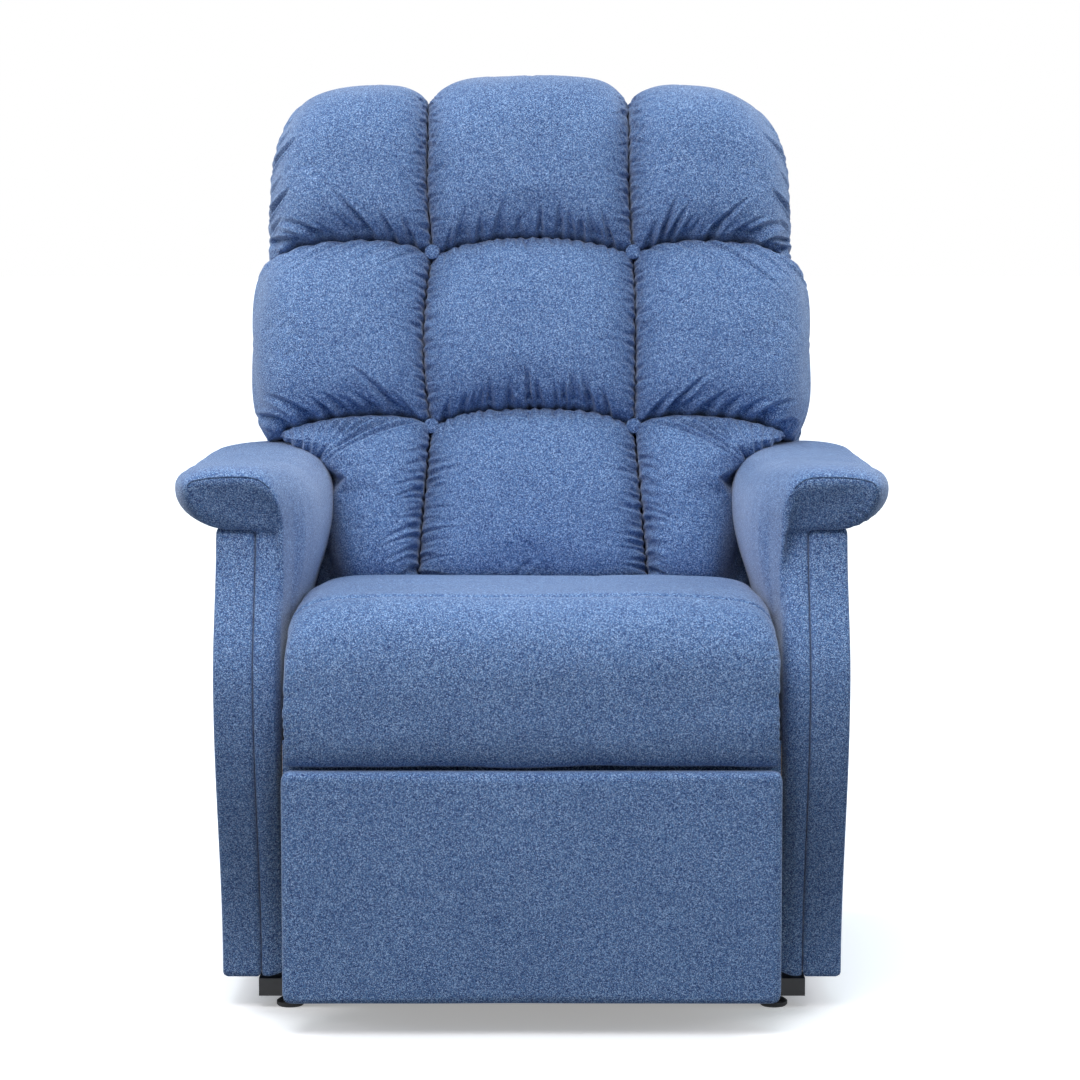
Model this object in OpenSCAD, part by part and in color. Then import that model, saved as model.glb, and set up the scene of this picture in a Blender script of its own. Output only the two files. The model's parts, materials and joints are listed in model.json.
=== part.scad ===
// Lift recliner chair: a pillow-back armchair on a steel lift base, millimetres, Z up.
// The chair faces -Y, X is across it, and the origin is on the floor at its centre.
// Bodies: base, lift arms, front links, carriage, backrest, footrest linkage, two actuators.

/* [Seat and arms] */
// Clear width between the arms at seat level
seat_w = 606; // [580:1:640]
// Thickness of the inner arm panel
inner_panel_t = 15; // [12:1:20]
// Thickness of the wooden arm frame
arm_frame_t = 18; // [15:1:22]
// Thickness of the padded outer arm panel
outer_panel_t = 48; // [36:1:60]
// Height of the arm panels above the floor
arm_panel_top = 604; // [590:1:620]
// Height of the lower edge of the arms above the floor
arm_bottom = 42; // [41:1:60]
// Height of the crest of the arm pads
arm_crest = 664; // [652:1:676]
// How far an arm pad stands out beyond its panel
arm_overhang = 49; // [30:1:60]
// How far an arm pad bulges in over the seat
arm_bulge = 30; // [15:1:34]
// Rear end of the arms
arm_rear_y = 270; // [262:1:300]
// Foremost point of the arm fronts
arm_belly_y = -425; // [-440:1:-405]
// Arm front at the lower edge
arm_toe_y = -325; // [-345:1:-322]
// Arm front under the pad
arm_neck_y = -365; // [-380:1:-350]
// Foremost point of the arm pads
nose_y = -402; // [-415:1:-392]

/* [Seat cushion] */
// Front of the seat cushion
seat_front_y = -470; // [-480:1:-460]
// Rear end of the seat cushion
seat_rear_y = 66; // [50:1:68]
// Height of the crown of the seat
seat_crest = 530; // [505:1:545]
// Lower edge of the front roll
roll_bottom = 326; // [326:1:340]
// Height of the top of the wooden seat rails
seat_rail_top = 346; // [346:1:348]

/* [Backrest] */
// Rake of the backrest from the vertical, in degrees
rake = 15.6; // [14:0.1:16]
// Length of the backrest along its rake
back_len = 752; // [740:1:780]
// How far the widest row of the backrest stays inside the outer arm faces
back_inset = 8; // [4:1:18]
// Gap between the lowest row of pillows and the inner arm faces
back_low_gap = 35; // [34:1:41]
// Distance of the pillow seams from the rear face
seam_w = 190; // [180:1:196]
// Distance of the pillow crowns from the rear face
crown_w = 236; // [226:1:240]
// Half width of the middle column of pillows
column_w = 144; // [136:1:152]
// Thickness of the rear panel
rear_panel_t = 22; // [18:1:24]
// Thickness of the wooden back frame
back_frame_t = 38; // [32:1:40]
// Diameter of the covered buttons
button_d = 18; // [14:1:24]

/* [Footrest] */
// Gap between the footrest panel and the inner arm faces
footrest_gap = 3; // [2:1:20]
// Top edge of the footrest panel
footrest_top = 322; // [308:1:322]
// Lower edge of the footrest panel
footrest_bottom = 41; // [40:1:60]
// Thickness of the footrest pad
footrest_pad_t = 30; // [24:1:36]
// Thickness of the footrest board
footrest_board_t = 14; // [12:1:16]

/* [Lift mechanism] */
// Distance of the carriage side plates from the inner arm faces
plate_clear = 77; // [75:1:80]
// Thickness of the carriage side plates
plate_t = 6; // [5:1:7]
// Thickness of the lift links
lift_link_t = 8; // [7:1:9]
// Thickness of the base pivot brackets
bracket_t = 6; // [5:1:7]
// Radius of the lift pivot pins
lift_pin_r = 8; // [7:0.5:9]
// Radius of the footrest pivot pins
leg_pin_r = 6; // [5:0.5:7]
// Thickness of the footrest links
leg_link_t = 5; // [4:0.5:5.5]
// Gap between the footrest links
leg_gap = 5; // [5:0.5:6]
// Running clearance of a pin in its hole
run = 0.05; // [0.03:0.01:0.1]
// Clearance between a pin head and the link under it
head_gap = 0.3; // [0.2:0.1:0.5]
// Thickness of a pin head
head_t = 2.7; // [2:0.1:3]

/* [Base] */
// Height of the steel base bars
bar_h = 22; // [20:1:25]
// Height of the glides
glide_h = 16; // [12:1:16]
// Diameter of the glides
glide_d = 35; // [30:1:40]
// How far the front base bar reaches past the inner arm faces
front_bar_reach = 37; // [20:1:42]
// Width of the cross bars of the base
cross_bar_w = 40; // [30:1:44]
// Width of the side rails of the base
side_rail_w = 25; // [20:1:30]

/* [Actuators] */
// Radius of the actuator rods
rod_r = 10; // [8:0.5:10]
// Radius of the actuator outer tubes
act_tube_r = 17; // [15:1:18]
// Radius of the actuator pins
act_pin_r = 5; // [4:0.5:6]
// Radius of the gear motors
motor_r = 24; // [20:1:26]
// Length of the gear motors
motor_len = 104; // [80:1:120]

/* [Hidden] */
$fn = 48;

// Clearance that keeps a soft piece off its neighbour
soft_gap = 0.3;
// Fabric, frame and metal colours
blue = [0.30, 0.41, 0.60];
dark_blue = [0.24, 0.34, 0.52];
steel = [0.16, 0.16, 0.17];
zinc = [0.62, 0.63, 0.65];
pine = [0.76, 0.62, 0.42];
black = [0.07, 0.07, 0.08];

// ---- Pivots in the side view, as [y, z]
// Rear lift arm: on the base, and on the carriage at rest
lift_base_pivot = [-150, 150];
lift_arm_len = 300;
lift_rest_angle = -10;
lift_carriage_pivot = lift_base_pivot + lift_arm_len * [cos(lift_rest_angle), sin(lift_rest_angle)];
// Front link: on the base, and on the carriage, where the hole has open clearance
front_base_pivot = [-303, 116];
front_carriage_pivot = [-220, 80];
front_slack = 1.9;
// Backrest hinge on the carriage
recline_pivot = [212, 380];
// Footrest linkage: drive link, front link, boom and tilt link
leg_drive_pivot = [-224.4, 274];
leg_drive_end = [-204.9, 128.1];
leg_front_pivot = [-286.1, 288.9];
leg_front_mid = [-264.2, 144.6];
leg_front_end = [-264.3, 92.6];
boom_tip = [-410.1, 272.6];
tilt_tip = [-406.2, 222.8];
leg_slack = 1.1;
// Lift actuator, from the base clevis to the carriage tab
lift_act_pivot = [-160, 112];
lift_act_tip = [51, 318];
// Slot of its fork behind and ahead of the pin
lift_slot = [6.2, 4.4];
lift_slot_r = act_pin_r + 0.5;
// Backrest actuator, from the carriage clevis to the backrest lever, which it pulls in
back_act_pivot = [-100, 268];
back_lever_r = 70;
back_lever_angle = -70;
back_act_tip = recline_pivot + back_lever_r * [cos(back_lever_angle), sin(back_lever_angle)];
back_act_stroke = 50;
back_slot = [2.5, 2.5];
back_slot_r = act_pin_r + 3.4;
back_act_x = -95;

// ---- Layers across the chair, on the right-hand side
plate_in = seat_w / 2 - plate_clear;
plate_out = plate_in + plate_t;
arm_link_in = plate_out + 12;
arm_link_out = arm_link_in + lift_link_t;
base_bracket_in = arm_link_out + 6;
base_bracket_out = base_bracket_in + bracket_t;
back_bracket_in = plate_out + 6;
back_bracket_t = 6;
back_bracket_out = back_bracket_in + back_bracket_t;
function leg_layer(i) = plate_in - i * (leg_link_t + leg_gap);

// ---- Arm and seat places
arm_in = seat_w / 2;
frame_in = arm_in + inner_panel_t;
outer_in = frame_in + arm_frame_t;
arm_out = outer_in + outer_panel_t;
front_bar_half = arm_in + front_bar_reach;
back_half_w = arm_out - back_inset;
back_low_half_w = arm_in - back_low_gap;
footrest_w = seat_w - 2 * footrest_gap;
base_front_y = -295;
base_rear_y = 255;
post_rear_y = -300;
arm_inset = 8;
rail_bottom = seat_rail_top - 46;
side_rail_in = plate_out + 4;
seat_rail_front_y = -374;
seat_rail_rear_y = 120;
rail_t = 24;
spring_h = 4;
seat_bottom = seat_rail_top + spring_h + 0.3;
bolt_r = 5;
bolt_ys = [-200, 60];
bolt_z = seat_rail_top - 23;

// ---- Small helpers
function polar(a, r) = [r * cos(a), r * sin(a)];
function angle_of(p, q) = atan2(q[1] - p[1], q[0] - p[0]);
function supercos(a, n) = sign(cos(a)) * pow(abs(cos(a)), 2 / n);
function supersin(a, n) = sign(sin(a)) * pow(abs(sin(a)), 2 / n);

// A side-view profile, drawn in [y, z], as a slab from x to x + t
module slab(x, t) {
    translate([x, 0, 0])
        rotate([90, 0, 90])
            linear_extrude(t)
                children();
}

module both_sides() {
    children();
    mirror([1, 0, 0])
        children();
}

// A shaft along X from x0 to x1
module shaft(x0, x1, p, r) {
    translate([x0, p[0], p[1]])
        rotate([0, 90, 0])
            cylinder(h = x1 - x0, r = r);
}

// A link in the side view with round eyes and a narrower waist
module link_shape(p, q, eye_r, waist) {
    translate(p)
        circle(eye_r);
    translate(q)
        circle(eye_r);
    translate(p)
        rotate(angle_of(p, q))
            translate([0, -waist / 2])
                square([norm(q - p), waist]);
}

module hole_at(p, r) {
    translate(p)
        circle(r);
}

// A slot in the side view along the line at angle a
module slot_at(p, a, back, front, r) {
    translate(p)
        rotate(a) {
            translate([-back, 0])
                circle(r);
            translate([front, 0])
                circle(r);
            translate([-back, -r])
                square([back + front, 2 * r]);
        }
}

// A square tube across the chair
module cross_tube(p, size, half) {
    translate([-half, p[0] - size / 2, p[1] - size / 2])
        cube([2 * half, size, size]);
}

// Closed triangle mesh through loops of points; each cap is a fan from the loop's first point
module loft(loops) {
    count = len(loops[0]);
    rows = len(loops);
    last = (rows - 1) * count;
    points = [for (loop = loops) for (p = loop) p];
    sides = [
        for (j = [0 : rows - 2], i = [0 : count - 1])
            let (a = j * count + i, b = j * count + (i + 1) % count)
                each [[a, b, b + count], [a, b + count, a + count]]
    ];
    start_cap = [for (i = [1 : count - 2]) [0, i + 1, i]];
    end_cap = [for (i = [1 : count - 2]) [last, last + i, last + i + 1]];
    polyhedron(points, concat(sides, start_cap, end_cap), convexity = 6);
}

// ---- Base
module base_side_rails() {
    color(steel)
        both_sides()
            translate([base_bracket_out, base_front_y + cross_bar_w / 2, glide_h])
                difference() {
                    cube([side_rail_w, base_rear_y - base_front_y - cross_bar_w, bar_h]);
                    translate([3, -1, 3])
                        cube([side_rail_w - 6, base_rear_y - base_front_y + 2 - cross_bar_w, bar_h - 6]);
                }
}

module cross_bar(y, half) {
    translate([-half, y - cross_bar_w / 2, glide_h])
        difference() {
            cube([2 * half, cross_bar_w, bar_h]);
            translate([-1, 3, 3])
                cube([2 * half + 2, cross_bar_w - 6, bar_h - 6]);
        }
}

module base_cross_bars() {
    color(steel) {
        cross_bar(base_front_y, front_bar_half);
        cross_bar(lift_act_pivot[0], base_bracket_out);
        cross_bar(base_rear_y, base_bracket_out + side_rail_w);
    }
}

module base_brackets() {
    a = lift_base_pivot;
    c = front_base_pivot;
    foot = glide_h + bar_h;
    color(steel)
        both_sides()
            slab(base_bracket_in, bracket_t)
                difference() {
                    union() {
                        polygon([[c[0] - 20, foot], [a[0] + 44, foot], [a[0] + 18, a[1] - 4],
                                 [a[0] - 18, a[1] - 4], [a[0] - 52, foot + 48], [c[0] + 46, foot + 42],
                                 [c[0] + 16, c[1] - 4], [c[0] - 16, c[1] - 4]]);
                        translate(a)
                            circle(20);
                        translate(c)
                            circle(18);
                    }
                    hole_at(a, lift_pin_r);
                    hole_at(c, lift_pin_r);
                }
}

module glide(x, y) {
    translate([x, y, 0])
        rotate_extrude()
            polygon([[0, 0], [glide_d / 2 - 2, 0], [glide_d / 2, 2], [glide_d / 2, 6],
                     [glide_d / 2 - 4, 9], [8, 10], [8, glide_h], [0, glide_h]]);
}

module base_glides() {
    color(black)
        both_sides() {
            glide(arm_in - 1, base_front_y);
            glide(base_bracket_out + side_rail_w / 2 - 4, base_rear_y);
        }
}

// A pin from the outer face of the base bracket to the inner face of a lift link
module base_pin(p) {
    r = lift_pin_r - run;
    shaft(arm_link_in - head_gap, base_bracket_out, p, r);
    shaft(arm_link_in - head_gap - head_t, arm_link_in - head_gap, p, r + 5);
    shaft(base_bracket_out, base_bracket_out + head_t, p, r + 4);
    shaft(arm_link_out + head_gap, base_bracket_in, p, r + 4);
}

// The pin of a fork or eye at x, with a head at each end
module fork_pin(x, p, half, head_r) {
    shaft(x - half, x + half, p, act_pin_r - run);
    shaft(x + half, x + half + head_t, p, head_r);
    shaft(x - half - head_t, x - half, p, head_r);
}

module base_pivot_pins() {
    color(zinc) {
        both_sides() {
            base_pin(lift_base_pivot);
            base_pin(front_base_pivot);
        }
        fork_pin(0, lift_act_pivot, ear_out, act_pin_r + 3);
    }
}

// Ears on both sides of an actuator's rear eye
eye_half = 8;
ear_gap = 1;
ear_t = 6;
ear_out = eye_half + ear_gap + ear_t;
ear_r = act_pin_r + 7;
module ears(x) {
    translate([x, 0, 0])
        both_sides()
            slab(eye_half + ear_gap, ear_t)
                children();
}

module base_clevis() {
    p = lift_act_pivot;
    foot = glide_h + bar_h;
    color(steel)
        ears(0)
            difference() {
                union() {
                    polygon([[p[0] - 20, foot], [p[0] + 20, foot], [p[0] + 10, p[1]], [p[0] - 10, p[1]]]);
                    translate(p)
                        circle(ear_r);
                }
                hole_at(p, act_pin_r);
            }
}

// ---- Lift arms and front links
lift_tube_at = 225;
lift_tube_r = 13;
module lift_arms() {
    color(steel)
        both_sides()
            slab(arm_link_in, lift_link_t)
                difference() {
                    link_shape(lift_base_pivot, lift_carriage_pivot, 19, 30);
                    hole_at(lift_base_pivot, lift_pin_r);
                    hole_at(lift_carriage_pivot, lift_pin_r);
                }
}

// The tube that joins the lift arms passes under the carriage side plates
lift_tube_drop = 40;
function lift_tube_place() = lift_base_pivot + polar(lift_rest_angle, lift_tube_at)
    + polar(lift_rest_angle - 90, lift_tube_drop);
module lift_arm_tube() {
    p = lift_tube_place();
    top = lift_base_pivot + polar(lift_rest_angle, lift_tube_at);
    color(steel) {
        difference() {
            shaft(-arm_link_in + 2, arm_link_in - 2, p, lift_tube_r);
            shaft(-arm_link_in, arm_link_in, p, lift_tube_r - 2.5);
        }
        both_sides()
            slab(arm_link_in - 6, 6)
                difference() {
                    link_shape(top, p, 14, 26);
                    hole_at(p, lift_tube_r);
                }
    }
}

module front_links() {
    color(steel)
        both_sides()
            slab(arm_link_in, lift_link_t)
                difference() {
                    link_shape(front_base_pivot, front_carriage_pivot, 19, 28);
                    hole_at(front_base_pivot, lift_pin_r);
                    hole_at(front_carriage_pivot, lift_pin_r + front_slack);
                }
}

// ---- Carriage: the steel side plates and the tubes between them
module carriage_outline() {
    h = recline_pivot;
    b = lift_carriage_pivot;
    d = front_carriage_pivot;
    f = leg_front_pivot;
    polygon([[d[0] - 22, d[1] + 8], [d[0] - 14, d[1] - 18], [d[0] + 16, d[1] - 18], [d[0] + 46, 108],
             [b[0] - 40, 108], [b[0] - 16, b[1] - 16], [b[0] + 18, b[1] - 14], [b[0] + 30, b[1] + 20],
             [b[0] + 30, 220], [h[0] + 22, h[1] - 50], [h[0] + 20, h[1]], [h[0] - 20, h[1]],
             [h[0] - 34, h[1] - 60], [h[0] - 76, rail_bottom], [leg_drive_pivot[0] + 10, rail_bottom],
             [f[0] - 4, f[1] + 15], [f[0] - 15, f[1]], [f[0] - 4, f[1] - 18], [d[0] - 16, 236]]);
    for (p = [h, b, d])
        translate(p)
            circle(20);
    for (p = [f, leg_drive_pivot])
        translate(p)
            circle(16);
}

module carriage_plates() {
    flange_from = leg_drive_pivot[0] + 14;
    color(steel)
        both_sides() {
            slab(plate_in, plate_t)
                difference() {
                    carriage_outline();
                    hole_at(lift_carriage_pivot, lift_pin_r);
                    hole_at(front_carriage_pivot, lift_pin_r);
                    hole_at(recline_pivot, lift_pin_r);
                    hole_at(leg_drive_pivot, leg_pin_r);
                    hole_at(leg_front_pivot, leg_pin_r);
                    for (y = [-110, -10])
                        translate([y, 200])
                            circle(38);
                    translate([92, 190])
                        circle(30);
                }
            translate([plate_out, flange_from, rail_bottom - 5])
                cube([28, recline_pivot[0] - 84 - flange_from, 5]);
        }
}

tube_size = 25;
front_tube = back_act_pivot + [-28, 0];
mid_tube = lift_act_tip + [39, -63];
rear_tube = lift_carriage_pivot + [-5, 64];
module carriage_cross_tubes() {
    color(steel)
        for (p = [front_tube, mid_tube, rear_tube])
            difference() {
                cross_tube(p, tube_size, plate_in);
                cross_tube(p, tube_size - 4, plate_in + 1);
            }
}

// A pin from the inner face of a carriage plate out through a lift link
module carriage_pin(p) {
    r = lift_pin_r - run;
    shaft(plate_in, arm_link_out + head_gap, p, r);
    shaft(plate_in - head_t, plate_in, p, r + 3);
    shaft(plate_out, arm_link_in - head_gap, p, r + 3);
    shaft(arm_link_out + head_gap, arm_link_out + head_gap + head_t, p, r + 5);
}

// A pin from the outer face of one layer in through another, in the footrest linkage
module leg_pin(p, outer, inner) {
    r = leg_pin_r - run;
    shaft(inner - head_gap, outer, p, r);
    shaft(inner - head_gap - head_t, inner - head_gap, p, r + 4);
    shaft(outer, outer + head_t, p, r + 3);
    shaft(inner + leg_link_t + head_gap, outer - leg_link_t, p, r + 3);
}

module carriage_leg_pin(p) {
    r = leg_pin_r - run;
    shaft(leg_layer(1) - head_gap, plate_out, p, r);
    shaft(leg_layer(1) - head_gap - head_t, leg_layer(1) - head_gap, p, r + 4);
    shaft(plate_out, plate_out + head_t, p, r + 3);
    shaft(leg_layer(1) + leg_link_t + head_gap, plate_in, p, r + 3);
}

module recline_pin() {
    r = lift_pin_r - run;
    shaft(plate_in, back_bracket_out + head_gap, recline_pivot, r);
    shaft(plate_in - head_t, plate_in, recline_pivot, r + 4);
    shaft(plate_out, back_bracket_in - head_gap, recline_pivot, r + 4);
    shaft(back_bracket_out + head_gap, back_bracket_out + head_gap + head_t, recline_pivot, r + 4);
}

// Half thickness of the tab that an actuator's fork straddles
tab_half = 5;
fork_gap = 1;
fork_t = 5;
fork_out = tab_half + fork_gap + fork_t;
module carriage_pivot_pins() {
    color(zinc) {
        both_sides() {
            carriage_pin(lift_carriage_pivot);
            carriage_pin(front_carriage_pivot);
            carriage_leg_pin(leg_drive_pivot);
            carriage_leg_pin(leg_front_pivot);
            recline_pin();
        }
        fork_pin(back_act_x, back_act_pivot, ear_out, act_pin_r + 3);
        fork_pin(0, lift_act_tip, fork_out + head_gap, act_pin_r + 7);
    }
}

module carriage_clevises() {
    p = lift_act_tip;
    q = back_act_pivot;
    tube_top = mid_tube[1] + tube_size / 2;
    face = front_tube[0] + tube_size / 2;
    color(steel) {
        slab(-tab_half, 2 * tab_half)
            difference() {
                union() {
                    polygon([[mid_tube[0] - 12, tube_top], [mid_tube[0] + 12, tube_top],
                             [p[0] + 9, p[1] + 4], [p[0] - 9, p[1] - 4]]);
                    translate(p)
                        circle(11);
                }
                hole_at(p, act_pin_r);
            }
        translate([back_act_x, 0, 0])
            ears(0)
                difference() {
                    union() {
                        translate([face, q[1] - 11])
                            square([q[0] - face, 22]);
                        translate(q)
                            circle(ear_r);
                    }
                    hole_at(q, act_pin_r);
                }
    }
}

// ---- Seat
module bolt_holes(r) {
    for (y = bolt_ys)
        hole_at([y, bolt_z], r);
}

module seat_side_rails() {
    t = arm_in - soft_gap - side_rail_in;
    color(pine)
        both_sides()
            slab(side_rail_in, t)
                difference() {
                    translate([seat_rail_front_y, rail_bottom])
                        square([seat_rail_rear_y - seat_rail_front_y, seat_rail_top - rail_bottom]);
                    bolt_holes(bolt_r + 0.2);
                }
}

module seat_cross_rails() {
    half = arm_in - soft_gap;
    color(pine) {
        translate([-half, seat_rail_front_y - rail_t, rail_bottom])
            cube([2 * half, rail_t, seat_rail_top - rail_bottom]);
        translate([-side_rail_in, seat_rail_rear_y - rail_t, seat_rail_top - 22])
            cube([2 * side_rail_in, rail_t, 22]);
    }
}

// A flat sinuous spring: bars across with half-ring bends, drawn along +Y
module sinuous(length, width, pitch, wire) {
    count = floor((length - wire) / pitch);
    bend = (pitch - wire) / 2;
    linear_extrude(wire)
        for (i = [0 : count]) {
            translate([-width / 2, i * pitch])
                square([width, wire]);
            if (i < count)
                translate([(i % 2 == 0 ? 1 : -1) * width / 2, i * pitch + pitch / 2 + wire / 2])
                    intersection() {
                        difference() {
                            circle(bend + wire);
                            circle(bend);
                        }
                        translate([i % 2 == 0 ? 0 : -pitch, -pitch])
                            square([pitch, 2 * pitch]);
                    }
        }
}

seat_spring_xs = [for (k = [-2 : 2]) k * arm_in * 0.29];
seat_spring_pitch = 36;
module seat_springs() {
    span = seat_rail_rear_y - seat_rail_front_y + rail_t;
    color(zinc)
        for (x = seat_spring_xs)
            translate([x, seat_rail_front_y - rail_t + 2, seat_rail_top])
                sinuous(span - 4, 44, seat_spring_pitch, spring_h);
}

// Side-view loop of the seat cushion at a share s of its half width
seat_half = arm_in - 7;
seat_floor = seat_rail_top + 34;
function seat_section(s) =
    let (
        lip = seat_rail_front_y - rail_t - 6,
        fall = 0.42 + 0.58 * sqrt(1 - pow(abs(s), 9)),
        pull = 0.82 + 0.18 * sqrt(1 - pow(abs(s), 9)),
        nose_z = roll_bottom + 93,
        crest_y = seat_front_y + 168,
        rear_top = seat_crest - 30,
        low = [for (a = [90 : -18 : 18]) [seat_front_y + 38 * (1 - supercos(a, 2.6)), nose_z
                                          - (nose_z - roll_bottom) * supersin(a, 2.6)]],
        top = [for (a = [0 : 10 : 90]) [crest_y - (crest_y - seat_front_y) * supercos(a, 2.3),
                                        nose_z + (seat_crest - nose_z) * supersin(a, 2.3)]],
        back = [for (k = [1 : 6]) [crest_y + (seat_rear_y - 26 - crest_y) * k / 6,
                                   seat_crest - (seat_crest - rear_top) * (1 - cos(90 * k / 6))]],
        end = [[seat_rear_y - 6, rear_top - 10], [seat_rear_y, rear_top - 32], [seat_rear_y, seat_bottom]],
        loop = concat([[lip, seat_bottom], [lip, roll_bottom]], low, top, back, end)
    )
    [for (p = loop) [s * seat_half, p[0] < lip ? lip + (p[0] - lip) * pull : p[0],
                     p[1] > seat_floor ? seat_floor + (p[1] - seat_floor) * fall : p[1]]];

seat_stations = [-1, -0.985, -0.95, -0.88, -0.75, -0.5, -0.2, 0.2, 0.5, 0.75, 0.88, 0.95, 0.985, 1];
module seat_cushion() {
    color(blue)
        loft([for (s = seat_stations) seat_section(s)]);
}

// ---- Arms
// Front edge of an arm in the side view: it swells to a belly and draws in under the pad
belly_z = 425;
function arm_front(z) = z < belly_z
    ? arm_toe_y + (arm_belly_y - arm_toe_y) * pow(sin(90 * (z - arm_bottom) / (belly_z - arm_bottom)), 2)
    : arm_belly_y + (arm_neck_y - arm_belly_y) * pow(sin(90 * (z - belly_z) / (arm_panel_top - belly_z)), 2);

front_steps = 18;
function arm_front_points(inset) = [
    for (i = [0 : front_steps])
        let (z = arm_bottom + (arm_panel_top - arm_bottom) * i / front_steps)
            [arm_front(z) + inset, z]
];

module outer_panel() {
    color(blue)
        slab(outer_in, outer_panel_t)
            polygon(concat(arm_front_points(0), [[arm_rear_y, arm_panel_top], [arm_rear_y, arm_bottom]]));
}

module front_post() {
    color(blue)
        slab(arm_in, outer_in - arm_in - soft_gap)
            polygon(concat(arm_front_points(1), [[post_rear_y, arm_panel_top], [post_rear_y, arm_bottom]]));
}

module arm_board(y0, y1) {
    difference() {
        translate([y0, arm_bottom + 4])
            square([y1 - y0, arm_panel_top - arm_bottom - 4]);
        bolt_holes(bolt_r + 0.2);
    }
}

module inner_panel() {
    color(dark_blue)
        slab(arm_in, inner_panel_t)
            arm_board(post_rear_y, arm_rear_y - arm_inset);
}

window_w = 100;
module arm_frames() {
    y1 = arm_rear_y - arm_inset;
    color(pine)
        both_sides()
            slab(frame_in, arm_frame_t)
                difference() {
                    arm_board(post_rear_y, y1);
                    for (y = [post_rear_y + 50 : window_w + 44 : y1 - window_w - 40])
                        for (z = [arm_bottom + 60, bolt_z + 50])
                            translate([y, z])
                                square([window_w, 150]);
                }
}

module arm_bolts() {
    color(zinc)
        both_sides()
            for (y = bolt_ys) {
                shaft(side_rail_in, outer_in, [y, bolt_z], bolt_r);
                shaft(side_rail_in - 3, side_rail_in, [y, bolt_z], bolt_r + 4);
            }
}

// Front-view loop of an arm pad at y: it overhangs the panel outside and swells over the seat inside
pad_foot = 440;
function arm_pad_section(y) =
    let (
        t = min(1, (y - nose_y) / 130),
        round = sqrt(1 - pow(1 - t, 2.4)),
        tail = sin(90 * max(0, min(1, (arm_rear_y - 50 - y) / 120))),
        low = arm_panel_top + 0.3,
        inner = arm_in - soft_gap,
        swell = 2 + (arm_bulge - 2) * round * tail,
        reach = (arm_out + arm_overhang - outer_in - 8) * (0.62 + 0.38 * round),
        mid = outer_in + 8,
        shoulder = low + 46,
        rise = 4 + (arm_crest - shoulder - 4) * round,
        leg = [for (k = [0 : 6]) [inner - 0.4 - (swell - 0.4) * pow(sin(90 * k / 6), 1.6),
                                  pad_foot + (low + 6 - pad_foot) * k / 6]],
        crown_in = [for (a = [12 : 13 : 90]) [mid - (mid - inner + swell) * supercos(a, 2.2),
                                              low + 6 + (rise + shoulder - low - 6) * supersin(a, 2.2)]],
        crown_out = [for (a = [77 : -13 : 0]) [mid + reach * supercos(a, 3),
                                               shoulder + rise * supersin(a, 3)]],
        under = [for (a = [12 : 13 : 90]) [mid + reach * (0.4 + 0.6 * supercos(a, 2.2)),
                                           shoulder - (shoulder - low) * supersin(a, 2.2)]],
        foot = [[inner, pad_foot]],
        loop = concat(foot, leg, crown_in, crown_out, under, [[inner, low]])
    )
    [for (i = [len(loop) - 1 : -1 : 0]) [loop[i][0], y, loop[i][1]]];

pad_stations = [0, 4, 12, 26, 48, 80, 130, 260, 400, 500, 545, 585, 622];
module arm_pad() {
    color(blue)
        loft([for (k = [0 : len(pad_stations)])
            arm_pad_section(k < len(pad_stations) ? nose_y + pad_stations[k] : arm_rear_y)]);
}

module rear_apron() {
    half = arm_in - soft_gap;
    color(dark_blue)
        translate([-half, arm_rear_y - 24, 60])
            cube([2 * half, 12, 205]);
}

// Control box on the rear tube, with two round inlets in its rear face
module control_box() {
    base_z = rear_tube[1] + tube_size / 2;
    color(black)
        difference() {
            translate([-70, rear_tube[0] - 12, base_z])
                cube([140, 76, 42]);
            for (x = [-30, 30])
                translate([x, rear_tube[0] + 56, base_z + 21])
                    rotate([-90, 0, 0])
                        cylinder(h = 20, r = 7);
        }
}

// ---- Backrest, in its own frame: u across, v up the rake, w forward from the rear face
back_foot = recline_pivot + [55.8, 20];
function back_point(u, v, w) = [u, back_foot[0] + v * sin(rake) - w * cos(rake),
                                back_foot[1] + v * cos(rake) + w * sin(rake)];

// Puts a shape drawn in [u, v] with its thickness along w into the chair
module on_back(w) {
    translate([0, back_foot[0], back_foot[1]])
        rotate([90 - rake, 0, 0])
            translate([0, 0, w])
                children();
}

// Half width of the whole backrest at v: narrow between the arms, wide above, round at the shoulders
wing_v = 262;
low_gap = 4;
function back_half(v) =
    v <= wing_v ? arm_in - low_gap
    : v <= wing_v + 40 ? arm_in - low_gap + (back_half_w - arm_in + low_gap) * sin(90 * (v - wing_v) / 40)
    : v <= back_len * 0.6 ? back_half_w
    : back_half_w - 78 * pow((v - back_len * 0.6) / (back_len * 0.4), 2.6);

module back_outline(inset) {
    vs = concat([for (v = [0, wing_v]) v], [for (k = [1 : 5]) wing_v + 8 * k],
                [for (k = [0 : 10]) back_len * (0.6 + 0.4 * k / 10)]);
    polygon(concat([for (v = vs) [back_half(v) - inset, min(v, back_len - inset)]],
                   [for (i = [len(vs) - 1 : -1 : 0]) [inset - back_half(vs[i]), min(vs[i], back_len - inset)]]));
}

module back_rear_panel() {
    color(dark_blue)
        on_back(0)
            linear_extrude(rear_panel_t)
                back_outline(0);
}

lever_root_v = 40;
mid_rail_v = 330;
back_rail_w = 40;
frame_half = arm_in - 33;
frame_rail = frame_half - back_bracket_out;
module back_side_rails() {
    color(pine)
        on_back(rear_panel_t)
            both_sides()
                translate([back_bracket_out, 40, 0])
                    cube([frame_rail, back_len - 90, back_frame_t]);
}

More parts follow.
